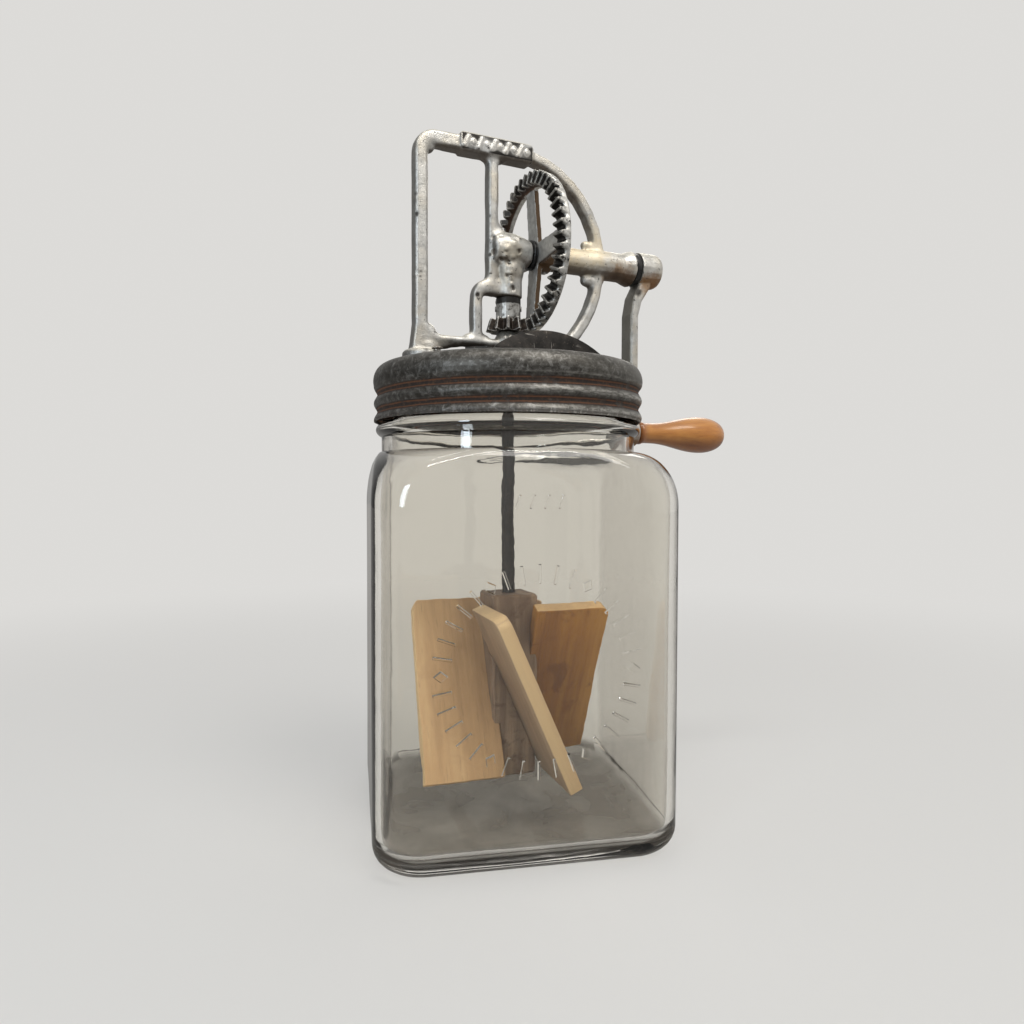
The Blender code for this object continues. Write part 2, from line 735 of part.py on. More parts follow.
def build_shutter(carrier):
    """Thin plate over the vent holes, with its front edge folded up as a thumb tab."""
    half_chord = math.sqrt(shutter_wing ** 2 - shutter_chord ** 2)
    at_rest = Matrix.Rotation(shutter_rest, 4, "Z")
    plate = prism(shutter_outline(), shutter_low, shutter_top)
    bmesh.ops.transform(plate, matrix=at_rest, verts=plate.verts)
    shutter = solid("vent_shutter", plate, ((0.06, 0.055, 0.05), 0.45, 0.85), carrier)
    near, far = [], []
    for step in range(13):
        x = half_chord * (step / 6 - 1)
        rise = math.sqrt(shutter_wing ** 2 - x ** 2) - shutter_chord
        tall = shutter_low + shutter_sheet / 2 + rise
        lean = rise * math.sin(shutter_lean)
        near.append((x, lean - shutter_chord - shutter_sheet, tall))
        far.append((x, lean - shutter_chord, tall))
    edit = bmesh.new()
    low = [edit.verts.new((x, y, shutter_low)) for x, y in
           ((half_chord, -shutter_chord), (-half_chord, -shutter_chord),
            (-half_chord, -shutter_chord - shutter_sheet),
            (half_chord, -shutter_chord - shutter_sheet))]
    front = [edit.verts.new(point) for point in near]
    back = [edit.verts.new(point) for point in far]
    for at in range(12):
        edit.faces.new((front[at], front[at + 1], back[at + 1], back[at]))
    edit.faces.new([low[2], low[3]] + front[::-1])
    edit.faces.new([low[0], low[1]] + back)
    edit.faces.new((low[0], low[3], low[2], low[1]))
    edit.faces.new((low[1], low[2], front[0], back[0]))
    edit.faces.new((low[3], low[0], back[-1], front[-1]))
    bmesh.ops.transform(edit, matrix=at_rest, verts=edit.verts)
    combine(shutter, guide("thumb_tab", edit), "UNION")
    hole = rod(bush_radius + fit_gap, shutter_low - cut_over, shutter_top + cut_over, round_sides)
    combine(shutter, guide("shutter_hole", hole), "DIFFERENCE")
    return shutter


def tooth_columns(teeth, radius, angle, flank_rows):
    """Angle and tooth height of each column of points round a bevel gear."""
    columns = []
    high, deep = module * tooth_add_share, -module * tooth_ded_share
    heights = [deep + (high - deep) * row / flank_rows for row in range(flank_rows + 1)]
    for tooth in range(teeth):
        middle = 2 * math.pi * tooth / teeth
        flank = []
        for height in heights:
            half = module * (math.pi / 4 - tooth_slack_share / 2) - height * math.tan(pressure_angle)
            flank.append((half / (radius + height * math.cos(angle)), height))
        columns += [(middle - half, height) for half, height in flank]
        columns += [(middle + half, height) for half, height in reversed(flank)]
    return columns


def bevel_teeth(teeth, radius, angle, back, inner_radius, flank_rows, phase):
    """Toothed ring about +Z with its cone apex at the origin and its back at a height."""
    near = (cone_length - tooth_face) / cone_length
    rings = [[], [], [], []]
    for turn, height in tooth_columns(teeth, radius, angle, flank_rows):
        across = Vector((math.cos(turn + phase), math.sin(turn + phase), 0))
        along = cone_length * math.cos(angle) - height * math.sin(angle)
        out = cone_length * math.sin(angle) + height * math.cos(angle)
        rim = radius - module * tooth_ded_share * math.cos(angle)
        up = Vector((0, 0, 1))
        rings[0].append(across * inner_radius + up * back)
        rings[1].append(across * out * near + up * along * near)
        rings[2].append(across * out + up * along)
        rings[3].append(across * rim + up * back)
    edit = bmesh.new()
    rows = [[edit.verts.new(point) for point in ring] for ring in rings]
    for at in range(len(rows[0])):
        for row in range(4):
            low, high = rows[row], rows[(row + 1) % 4]
            edit.faces.new((low[at - 1], low[at], high[at], high[at - 1]))
    return edit


def build_gear(carrier):
    """Bevel wheel with 44 teeth facing the shaft, a ring rim, four spokes and a long hub."""
    root_x = (cone_length * math.cos(gear_angle)
              + module * tooth_ded_share * math.sin(gear_angle))
    back = root_x + gear_rim
    inner = (gear_pitch_radius / cone_length) * (cone_length - tooth_face) - bar_chamfer
    edit = bevel_teeth(gear_teeth, gear_pitch_radius, gear_angle, back, inner, 1, 0)
    toward_x = Matrix.Translation((0, 0, axle_z)) @ Matrix.Rotation(math.pi / 2, 4, "Y")
    bmesh.ops.transform(edit, matrix=toward_x, verts=edit.verts)
    gear = solid("drive_gear", edit, ((0.10, 0.09, 0.08), 0.45, 0.9), carrier)
    in_share, out_share = spoke_dish_shares
    root_share, tip_share = spoke_half_shares
    spoke_in = gear_hub_left + spoke_height * in_share
    spoke_out = back - spoke_height * out_share
    ends = ((gear_hub_radius * spoke_root_share, spoke_in, spoke_width * root_share),
            (inner + bar_chamfer, spoke_out, spoke_width * tip_share))
    for number in range(4):
        rings = []
        for radius, left, half in ends:
            right = left + spoke_height
            narrow = half * spoke_draft_share
            rings.append([(radius, -half, left), (radius, half, left),
                          (radius, narrow, right), (radius, -narrow, right)])
        spoke = loft(rings)
        turn = Matrix.Rotation(number * math.pi / 2, 4, "Z")
        bmesh.ops.transform(spoke, matrix=toward_x @ turn, verts=spoke.verts)
        combine(gear, guide("spoke_%d" % (number + 1), spoke), "UNION")
    hub = rod(gear_hub_radius, gear_hub_left, gear_hub_right, round_sides, "X", (0, 0, axle_z),
              bar_chamfer / 2)
    combine(gear, guide("gear_hub", hub), "UNION")
    bore = rod(axle_bore, gear_hub_left - cut_over, gear_hub_right + cut_over, bore_sides, "X",
               (0, 0, axle_z))
    combine(gear, guide("gear_bore", bore), "DIFFERENCE")
    pin_x = gear_pin_x()
    pin = rod(pin_radius + fit_gap, -gear_hub_radius - cut_over, gear_hub_radius + cut_over,
              pin_sides, place=(pin_x, 0, axle_z))
    combine(gear, guide("gear_pin_bore", pin), "DIFFERENCE")
    return gear


def gear_pin_x():
    """Where the gear's pin crosses the axle, past the spokes."""
    return gear_hub_right - pin_radius - fit_gap - bar_chamfer


def build_pinion(carrier):
    """Eleven toothed bevel pinion with a plain neck, on the shaft below the apex."""
    edit = bevel_teeth(pinion_teeth, pinion_pitch_radius(), pinion_angle,
                       axle_z - pinion_low, shaft_bore, 2, math.pi / pinion_teeth)
    downward = Matrix.Translation((0, 0, axle_z)) @ Matrix.Rotation(math.pi, 4, "X")
    bmesh.ops.transform(edit, matrix=downward, verts=edit.verts)
    pinion = solid("pinion", edit, ((0.12, 0.10, 0.09), 0.5, 0.9), carrier)
    neck = ring_bar(shaft_bore, pinion_neck_radius, pinion_teeth_top - tooth_face / 2, pinion_top,
                    round_sides)
    combine(pinion, guide("pinion_neck", neck), "UNION")
    pin = rod(pin_radius + fit_gap, -pinion_neck_radius - cut_over, pinion_neck_radius + cut_over,
              pin_sides, "Y", (0, 0, pinion_pin_z()), yaw=pinion_pin_turn)
    combine(pinion, guide("pinion_pin_bore", pin), "DIFFERENCE")
    return pinion


def pinion_pitch_radius():
    """Pitch radius that meshes with the wheel."""
    return gear_pitch_radius * pinion_teeth / gear_teeth


def pinion_pin_z():
    """Height of the pin through the pinion's neck."""
    return (pinion_teeth_top + pinion_top) / 2


def build_pin(name, half_length, axis, place, carrier, yaw=0.0):
    """A plain cross pin, a little proud at both ends."""
    edit = rod(pin_radius, -half_length, half_length, pin_sides, axis, place, pin_proud / 2, yaw)
    return solid(name, edit, ((0.20, 0.18, 0.16), 0.5, 0.9), carrier)


def build_axle(carrier):
    """Steel axle from the blind inner bearing to the crank hub."""
    left = axle_boss_right - axle_embed
    right = crank_hub_left + crank_hub_length - crank_hub_round - fit_gap
    axle = solid("crank_axle", rod(axle_radius, left, right, bore_sides, "X", (0, 0, axle_z),
                                    bar_chamfer / 3), ((0.22, 0.21, 0.20), 0.4, 1.0), carrier)
    for name, x in (("axle_gear_pin_bore", gear_pin_x()), ("axle_crank_pin_bore", crank_pin_x())):
        hole = rod(pin_radius + fit_gap, -axle_radius - cut_over, axle_radius + cut_over, pin_sides,
                   place=(x, 0, axle_z))
        combine(axle, guide(name, hole), "DIFFERENCE")
    return axle


def build_washers(carrier):
    """Dark collars at both ends of the gear and tube assembly."""
    for name, left, length, radius in (
            ("inner_washer", inner_washer_left, inner_washer_length, inner_washer_radius),
            ("outer_washer", outer_washer_left, outer_washer_length, outer_washer_radius)):
        edit = ring_bar(axle_bore, radius, left, left + length, round_sides, "X", (0, 0, axle_z))
        solid(name, edit, ((0.03, 0.03, 0.03), 0.55, 0.6), carrier)


def crank_pin_x():
    """Where the crank's pin crosses the axle."""
    return crank_hub_left + crank_hub_length * crank_pin_share


def crank_path():
    """Crank arm from the hub, bowing in past the cap, down to the grip's boss."""
    middle = (arm_left + arm_right) / 2
    hub_out = crank_hub_left + arm_thickness * crank_path_shares[0][2] / 2 - middle
    path = [(middle + hub_out * out, axle_z - crank_hub_radius * drop, arm_thickness * thick)
            for out, drop, thick in crank_path_shares]
    return path + [(middle, grip_z, arm_thickness)]


def build_crank(carrier):
    """Cast crank: domed hub, bowed arm and a round end boss for the grip's spindle."""
    crank = solid("crank_arm", cast_bar(crank_path(), arm_width, bar_chamfer),
                  ((0.58, 0.57, 0.53), 0.4, 0.8), carrier)
    right = crank_hub_left + crank_hub_length
    hub = [(0, crank_hub_left), (crank_hub_radius, crank_hub_left),
           (crank_hub_radius, right - crank_hub_round),
           (crank_hub_radius - crank_hub_round * crank_round_share,
            right - crank_hub_round * crank_round_share),
           (crank_hub_radius - crank_hub_round, right), (0, right)]
    combine(crank, guide("crank_hub", turned(hub, round_sides, axis="X", place=(0, 0, axle_z))),
            "UNION")
    end = rod(crank_end_radius, arm_left - fit_gap, arm_right + fit_gap, round_sides, "X",
              (0, 0, grip_z), bar_chamfer / 2)
    combine(crank, guide("crank_end", end), "UNION")
    bore = rod(axle_bore, crank_hub_left - cut_over, right - crank_hub_round, bore_sides, "X",
               (0, 0, axle_z))
    combine(crank, guide("crank_bore", bore), "DIFFERENCE")
    hole = rod(spindle_radius + fit_gap, arm_left - cut_over, arm_right + cut_over, small_sides, "X",
               (0, 0, grip_z))
    combine(crank, guide("spindle_bore", hole), "DIFFERENCE")
    pin = rod(pin_radius + fit_gap, -crank_hub_radius - cut_over, crank_hub_radius + cut_over,
              pin_sides, place=(crank_pin_x(), 0, axle_z))
    combine(crank, guide("crank_pin_bore", pin), "DIFFERENCE")
    return crank


def grip_left():
    """Left face of the wooden grip, past the end boss and the washer."""
    return arm_right + 3 * fit_gap + grip_washer_height


def build_spindle(carrier):
    """Steel spindle riveted in the arm, with a head sunk in the grip's tip."""
    left = arm_left - 2 * fit_gap
    head = grip_left() + grip_length - grip_head_height
    profile = dome(grip_head_radius, grip_head_height, left, -1)
    profile += [(spindle_radius, left), (spindle_radius, head)]
    profile += reversed(dome(grip_head_radius, grip_head_height, head, 1))
    edit = turned(profile, small_sides, axis="X", place=(0, 0, grip_z))
    return solid("grip_spindle", edit, ((0.30, 0.28, 0.26), 0.4, 1.0), carrier)


def grip_profile():
    """Pear shaped outline of the grip as (radius, x), from the arm to the tip."""
    left = grip_left()
    belly = grip_length * grip_belly_share
    edge = grip_neck * grip_edge_share
    start = left + grip_length * grip_swell_share
    profile = [(grip_neck - edge, left), (grip_neck, left + edge)]
    for step in range(grip_steps + 1):
        share = step / grip_steps
        swell = (1 - math.cos(math.pi * share)) / 2
        profile.append((grip_neck + (grip_belly - grip_neck) * swell,
                        start + (left + belly - start) * share))
    for step in range(1, grip_steps + 1):
        angle = math.pi / 2 * step / grip_steps
        profile.append((grip_tip + (grip_belly - grip_tip) * math.cos(angle),
                        left + belly + (grip_length - belly) * math.sin(angle)))
    return profile


def build_grip(carrier):
    """Varnished wooden grip, bored for its spindle and recessed for the spindle's head."""
    bore = spindle_radius + fit_gap
    recess = grip_left() + grip_length - grip_head_height - fit_gap
    outline = grip_profile()
    outline[-1] = (grip_head_radius + fit_gap, outline[-1][1])
    inner = [(grip_head_radius + fit_gap, recess), (bore, recess), (bore, grip_left())]
    edit = turned(outline + inner, round_sides, ring=True, axis="X", place=(0, 0, grip_z))
    solid("grip", edit, ((0.50, 0.20, 0.04), 0.3, 0.0), carrier)
    left = arm_right + 2 * fit_gap
    washer = ring_bar(bore, grip_washer_radius, left, left + grip_washer_height,
                      small_sides, "X", (0, 0, grip_z))
    solid("grip_washer", washer, ((0.25, 0.23, 0.20), 0.5, 0.9), carrier)


def build_shaft(carrier):
    """Steel shaft from the dasher hub up through the bush to the blind upper bearing."""
    low = hub_top - shaft_embed
    shaft = solid("dasher_shaft", rod(shaft_radius, low, shaft_top, bore_sides,
                                      chamfer=bar_chamfer / 3),
                  ((0.10, 0.08, 0.07), 0.6, 0.8), carrier)
    for name, z, yaw in (("shaft_pinion_pin_bore", pinion_pin_z(), pinion_pin_turn),
                         ("shaft_hub_pin_bore", hub_top - hub_pin_drop, hub_pin_turn)):
        hole = rod(pin_radius + fit_gap, -shaft_radius - cut_over, shaft_radius + cut_over,
                   pin_sides, "Y", (0, 0, z), yaw=yaw)
        combine(shaft, guide(name, hole), "DIFFERENCE")
    return shaft


def paddle_pose(number):
    """Turn a paddle from its own frame (X out, Z up) to its pitched place round the hub."""
    out = Matrix.Rotation(paddle_first + number * math.pi / 2, 4, "Z")
    lift = Matrix.Translation((0, 0, (dasher_low + paddle_top) / 2))
    return lift @ out @ Matrix.Rotation(paddle_pitch, 4, "X")


def paddle_slab(root, reach, thickness, rise, corner):
    """Flat board standing on edge, its top outer corner rounded."""
    half = rise / 2
    outline = [(root, -half), (reach, -half)]
    if corner:
        outline += arc((reach - corner, half - corner), corner, 0, math.pi / 2, 5)
    else:
        outline.append((reach, half))
    outline.append((root, half))
    low = [(x, -thickness / 2, z) for x, z in outline]
    high = [(x, thickness / 2, z) for x, z in outline]
    return loft([low, high])


def paddle_length():
    """Length of the board along its own slope, for the height that it takes up."""
    return (paddle_rise - paddle_thickness * math.sin(paddle_pitch)) / math.cos(paddle_pitch)


def build_dasher(carrier):
    """Square wooden hub with four pitched paddles let into its faces."""
    half = hub_side / 2
    outline = [(-half, -half), (half, -half), (half, half), (-half, half)]
    edit = prism(outline, hub_low, hub_top)
    square_on = Matrix.Rotation(paddle_first, 4, "Z")
    bmesh.ops.transform(edit, matrix=square_on, verts=edit.verts)
    hub = solid("dasher_hub", edit, ((0.45, 0.28, 0.14), 0.6, 0.0), carrier)
    soften(hub, hub_chamfer)
    bore = rod(shaft_bore, hub_top - shaft_embed - fit_gap, hub_top + cut_over, bore_sides)
    combine(hub, guide("hub_bore", bore), "DIFFERENCE")
    pin = rod(pin_radius + fit_gap, -hub_side, hub_side, pin_sides, "Y",
              (0, 0, hub_top - hub_pin_drop), yaw=hub_pin_turn)
    combine(hub, guide("hub_pin_bore", pin), "DIFFERENCE")
    long = paddle_length()
    for number in range(4):
        kerf = paddle_slab(paddle_root - fit_gap, paddle_reach, paddle_thickness + 2 * fit_gap,
                           long + 2 * fit_gap, 0)
        bmesh.ops.transform(kerf, matrix=paddle_pose(number), verts=kerf.verts)
        combine(hub, guide("kerf_%d" % (number + 1), kerf), "DIFFERENCE")
        board = paddle_slab(paddle_root, paddle_reach, paddle_thickness, long, paddle_corner)
        bmesh.ops.transform(board, matrix=paddle_pose(number), verts=board.verts)
        paddle = solid("paddle_%d" % (number + 1), board, ((0.56, 0.36, 0.20), 0.6, 0.0), carrier)
        soften(paddle, paddle_edge)
    return hub


def build_part():
    """Build every piece on the body that carries it."""
    clear_scene()
    lift = pivot("lid_lift_axis", (0, 0, jar_top))
    lid = pivot("lid_turn_axis", (0, 0, lid_top), lift)
    crank = pivot("crank_axis", (0, 0, axle_z), lid)
    grip = pivot("grip_axis", (grip_left(), 0, grip_z), crank)
    dasher = pivot("dasher_axis", (0, 0, lid_top), lid)
    shutter = pivot("shutter_axis", (0, 0, shutter_low), lid)
    build_jar()
    build_gasket(lift)
    build_lid(lid)
    build_bush(lid)
    build_rivets(lid)
    build_frame(lid)
    build_shutter(shutter)
    build_axle(crank)
    build_gear(crank)
    build_washers(crank)
    build_crank(crank)
    build_spindle(crank)
    build_pin("gear_pin", gear_hub_radius + pin_proud, "Z", (gear_pin_x(), 0, axle_z), crank)
    build_pin("crank_pin", crank_hub_radius + pin_proud, "Z", (crank_pin_x(), 0, axle_z), crank)
    build_grip(grip)
    build_shaft(dasher)
    build_pinion(dasher)
    build_pin("pinion_pin", pinion_neck_radius + pin_proud, "Y", (0, 0, pinion_pin_z()), dasher,
              pinion_pin_turn)
    build_dasher(dasher)
    build_pin("hub_pin", hub_side / 2 + pin_proud, "Y", (0, 0, hub_top - hub_pin_drop), dasher,
              hub_pin_turn)


build_part()
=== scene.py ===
import json
import math

import bmesh
import bpy
from mathutils import Matrix, Vector, noise

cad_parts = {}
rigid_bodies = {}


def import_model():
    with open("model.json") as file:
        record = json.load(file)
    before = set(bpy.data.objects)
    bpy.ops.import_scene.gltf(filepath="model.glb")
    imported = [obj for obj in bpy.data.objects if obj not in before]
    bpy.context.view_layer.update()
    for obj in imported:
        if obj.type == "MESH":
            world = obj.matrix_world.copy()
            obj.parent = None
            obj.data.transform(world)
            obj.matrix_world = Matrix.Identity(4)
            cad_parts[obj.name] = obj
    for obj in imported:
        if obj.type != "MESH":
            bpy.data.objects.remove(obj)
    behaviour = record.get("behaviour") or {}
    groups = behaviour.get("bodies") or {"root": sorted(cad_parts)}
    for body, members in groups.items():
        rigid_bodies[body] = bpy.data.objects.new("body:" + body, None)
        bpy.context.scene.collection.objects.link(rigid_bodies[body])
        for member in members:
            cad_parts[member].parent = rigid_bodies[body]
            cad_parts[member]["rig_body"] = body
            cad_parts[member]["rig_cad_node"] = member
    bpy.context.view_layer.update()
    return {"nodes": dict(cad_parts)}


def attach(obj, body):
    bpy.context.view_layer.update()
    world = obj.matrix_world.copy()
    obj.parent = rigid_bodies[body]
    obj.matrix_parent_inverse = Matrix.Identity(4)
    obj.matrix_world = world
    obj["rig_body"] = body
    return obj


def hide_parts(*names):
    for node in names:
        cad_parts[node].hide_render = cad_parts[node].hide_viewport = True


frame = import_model()
print("frame loaded:", len(frame["nodes"]), "nodes")

mm = 0.001
noise.seed_set(7)  # the frame's waver follows this seed


# Small tools shared by all the pieces

def deselectAll():
    active = bpy.context.object
    if active and active.mode != "OBJECT":
        bpy.ops.object.mode_set(mode="OBJECT")
    bpy.ops.object.select_all(action="DESELECT")


def workOn(piece):
    deselectAll()
    bpy.context.view_layer.objects.active = piece
    piece.select_set(True)


def startPiece(name):
    piece = bpy.context.object
    piece.name = name
    piece.data.name = name
    bpy.ops.object.mode_set(mode="EDIT")
    return piece


def closeUp(piece, closeness=0.002 * mm):
    bpy.ops.mesh.select_all(action="SELECT")
    bpy.ops.mesh.remove_doubles(threshold=closeness)
    bpy.ops.mesh.normals_make_consistent(inside=False)
    bpy.ops.object.mode_set(mode="OBJECT")
    return piece


def applyModifier(piece, kind, **settings):
    workOn(piece)
    step = piece.modifiers.new(kind.lower(), kind)
    for key, value in settings.items():
        setattr(step, key, value)
    bpy.ops.object.modifier_apply(modifier=step.name)


# Add a tool's shape to a piece or cut it away, and drop the tool
def combine(piece, tool, operation):
    applyModifier(piece, "BOOLEAN", operation=operation, solver="EXACT", object=tool)
    bpy.data.objects.remove(tool, do_unlink=True)


def joinPieces(pieces):
    deselectAll()
    for piece in pieces:
        piece.select_set(True)
    bpy.context.view_layer.objects.active = pieces[0]
    bpy.ops.object.join()
    return pieces[0]


def roundEdges(piece, width, segments, sharp, smooth):
    applyModifier(piece, "BEVEL", width=width * mm, segments=segments,
                  limit_method="ANGLE", angle_limit=math.radians(sharp))
    smoothTo(piece, smooth)


def copyPiece(source, name):
    deselectAll()
    piece = source.copy()
    piece.data = source.data.copy()
    piece.name = piece.data.name = name
    bpy.context.scene.collection.objects.link(piece)
    return piece


# Cosine and sine along a quarter turn, with or without its start
def quarter(count, first=0):
    angles = [math.pi / 2 * step / count for step in range(first, count + 1)]
    return [(math.cos(angle), math.sin(angle)) for angle in angles]


def smoothTo(piece, degrees):
    workOn(piece)
    bpy.ops.object.shade_smooth_by_angle(angle=math.radians(degrees))


def turnToAxis(piece, axis, place=(0, 0, 0), yaw=0.0):
    turn = Matrix.Identity(4)
    if axis == "X":
        turn = Matrix.Rotation(math.pi / 2, 4, "Y")
    if axis == "Y":
        turn = Matrix.Rotation(-math.pi / 2, 4, "X")
    piece.data.transform(Matrix.Translation(place) @ Matrix.Rotation(yaw, 4, "Z") @ turn)


# Round the inner corners of an outline of (radius, height) points
def softProfile(points, radius, steps=4):
    out = [points[0]]
    for before, corner, after in zip(points, points[1:], points[2:]):
        before, middle, after = Vector(before), Vector(corner), Vector(after)
        reach = min(radius, (before - middle).length * 0.45, (after - middle).length * 0.45)
        if reach < 0.01 * mm:
            out.append(corner)
            continue
        start = middle + (before - middle).normalized() * reach
        end = middle + (after - middle).normalized() * reach
        for step in range(steps + 1):
            share = step / steps
            at = start.lerp(middle, share).lerp(middle.lerp(end, share), share)
            out.append((at.x, at.y))
    out.append(points[-1])
    return out


# Draw an outline one vertex at a time and spin it round its axis, as on a lathe
def turnPiece(name, profile, axis="Z", place=(0, 0, 0), steps=96, yaw=0.0, smoothAngle=35):
    deselectAll()
    bpy.ops.mesh.primitive_plane_add(size=mm)
    piece = startPiece(name)
    bpy.ops.mesh.merge(type="CENTER")
    radius, height = profile[0]
    bpy.ops.transform.translate(value=(radius, 0, height))
    for nextRadius, nextHeight in profile[1:]:
        move = (nextRadius - radius, 0, nextHeight - height)
        bpy.ops.mesh.extrude_vertices_move(TRANSFORM_OT_translate={"value": move})
        radius, height = nextRadius, nextHeight
    bpy.ops.mesh.select_all(action="SELECT")
    bpy.ops.mesh.spin(steps=steps, angle=2 * math.pi, center=(0, 0, 0), axis=(0, 0, 1))
    closeUp(piece)
    turnToAxis(piece, axis, place, yaw)
    smoothTo(piece, smoothAngle)
    return piece


# Extrude a ring of vertices again and again, and set each new ring in its place
def ringSkin(name, rings):
    deselectAll()
    bpy.ops.mesh.primitive_circle_add(vertices=len(rings[0]), radius=1)
    piece = startPiece(name)
    edit = bmesh.from_edit_mesh(piece.data)
    edit.verts.ensure_lookup_table()
    row = sorted(edit.verts, key=lambda v: math.atan2(v.co.y, v.co.x) % (2 * math.pi))
    for vert, point in zip(row, rings[0]):
        vert.co = point
    bpy.ops.mesh.select_all(action="SELECT")
    for before, ring in zip(rings, rings[1:]):
        bpy.ops.mesh.extrude_region_move()
        edit = bmesh.from_edit_mesh(piece.data)
        places = {tuple(round(c, 7) for c in point): at for at, point in enumerate(before)}
        for vert in [v for v in edit.verts if v.select]:
            vert.co = ring[places[tuple(round(c, 7) for c in vert.co)]]
    bmesh.update_edit_mesh(piece.data)
    return piece


# A CAD node's own shape, merged, ready to be finished
def copyNode(node, name):
    piece = copyPiece(frame["nodes"][node], name)
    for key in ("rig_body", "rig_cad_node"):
        if key in piece:
            del piece[key]
    piece.parent = None
    piece.data.materials.clear()
    piece.hide_render = False
    piece.hide_set(False)
    workOn(piece)
    bpy.ops.object.mode_set(mode="EDIT")
    bpy.ops.mesh.select_all(action="SELECT")
    bpy.ops.mesh.remove_doubles(threshold=0.005 * mm)
    bpy.ops.mesh.customdata_custom_splitnormals_clear()
    bpy.ops.object.mode_set(mode="OBJECT")
    return piece


# Raised lumps and leaning bars that are melted into a casting: a place, a size and a lean
def addLumps(piece, lumps):
    parts = [piece]
    for place, size, *lean in lumps:
        deselectAll()
        if lean:
            bpy.ops.mesh.primitive_cube_add(size=2)
        else:
            bpy.ops.mesh.primitive_uv_sphere_add(segments=20, ring_count=12, radius=1)
        lump = bpy.context.object
        turn = Matrix.Rotation(math.radians(lean[0] if lean else 0), 4, "Y")
        lump.data.transform(Matrix.Translation(Vector(place) * mm) @ turn
                            @ Matrix.Diagonal((*(Vector(size) * mm), 1)))
        parts.append(lump)
    joinPieces(parts)


# Melt a piece into one skin with soft edges, as metal that was poured in sand
def castSkin(piece, voxel, rounds, factor=0.5):
    applyModifier(piece, "REMESH", mode="VOXEL", voxel_size=voxel, use_smooth_shade=True)
    applyModifier(piece, "SMOOTH", factor=factor, iterations=rounds)
    workOn(piece)
    bpy.ops.object.shade_smooth()


# Fill the corners round the joints of a casting: a place and a reach in mm
def fillCorners(piece, spots, rounds):
    group = piece.vertex_groups.new(name="corners")
    for vert in piece.data.vertices:
        near = max(1 - (vert.co / mm - Vector(place)).length / reach for place, reach in spots)
        if near > 0:
            group.add([vert.index], min(2 * near, 1), "REPLACE")
    applyModifier(piece, "SMOOTH", factor=0.5, iterations=rounds, vertex_group="corners")
    piece.vertex_groups.clear()


# Raise or sink small spots of a skin: a place, a reach and a height in mm
def pressSpots(piece, spots):
    for vert in piece.data.vertices:
        for place, reach, height in spots:
            away = (vert.co / mm - Vector(place)).length / reach
            if away < 1:
                vert.co += vert.normal * (height * mm * (1 - away ** 2) ** 2)


# Put a finished piece on its body in place of the CAD nodes that it stands for
def fit(piece, body, finish, slot, *nodes):
    piece.data.materials.clear()
    piece.data.materials.append(finish)
    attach(piece, body)
    if nodes:
        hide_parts(*nodes)


# Shader maths written as Python sums

class Wire:
    def __init__(self, nodes, socket):
        self.nodes = nodes
        self.socket = socket

    def sum(self, kind, first, second=0):
        return self.nodes.node("Math", {"operation": kind}, {0: first, 1: second})

    def __add__(self, other):
        return self.sum("ADD", self, other)

    __radd__ = __add__

    def __sub__(self, other):
        return self.sum("SUBTRACT", self, other)

    def __rsub__(self, other):
        return self.sum("SUBTRACT", other, self)

    def __mul__(self, other):
        return self.sum("MULTIPLY", self, other)

    __rmul__ = __mul__

    def root(self):
        return self.sum("SQRT", self)

    def lowest(self, other):
        return self.sum("MINIMUM", self, other)

    def highest(self, other):
        return self.sum("MAXIMUM", self, other)

    # 0 below one value, 1 above the other, soft between them
    def between(self, low, high, least=0):
        settings = {"interpolation_type": "SMOOTHSTEP"}
        return self.nodes.node("MapRange", settings, {0: self, 1: low, 2: high, 3: least, 4: 1})


class Nodes:
    def __init__(self, tree):
        self.tree = tree

    def node(self, kind, settings=None, values=None, out=0):
        new = self.tree.nodes.new("ShaderNode" + kind)
        for key, value in (settings or {}).items():
            if key == "stops":
                self.setStops(new.color_ramp, value)
            else:
                setattr(new, key, value)
        for key, value in (values or {}).items():
            self.feed(new.inputs[key], value)
        return Wire(self, new.outputs[out])

    def setStops(self, ramp, stops):
        while len(ramp.elements) < len(stops):
            ramp.elements.new(0.5)
        for element, (place, colour) in zip(ramp.elements, stops):
            element.position = place
            element.color = (*colour, 1)

    def feed(self, socket, value):
        if isinstance(value, Wire):
            self.tree.links.new(value.socket, socket)
        elif isinstance(value, (tuple, list, Vector)):
            socket.default_value = (*value, 1)[:len(socket.default_value)]
        else:
            socket.default_value = value

    def vector(self, kind, first, second=(0, 0, 0), out=0):
        return self.node("VectorMath", {"operation": kind}, {0: first, 1: second}, out)

    def ray(self, kind):
        return self.node("LightPath", out="Is %s Ray" % kind)

    def blend(self, share, first, second):
        return self.node("MixShader", None, {0: share, 1: first, 2: second})

    def end(self, output, shader):
        self.feed(self.tree.nodes[output].inputs["Surface"], shader)


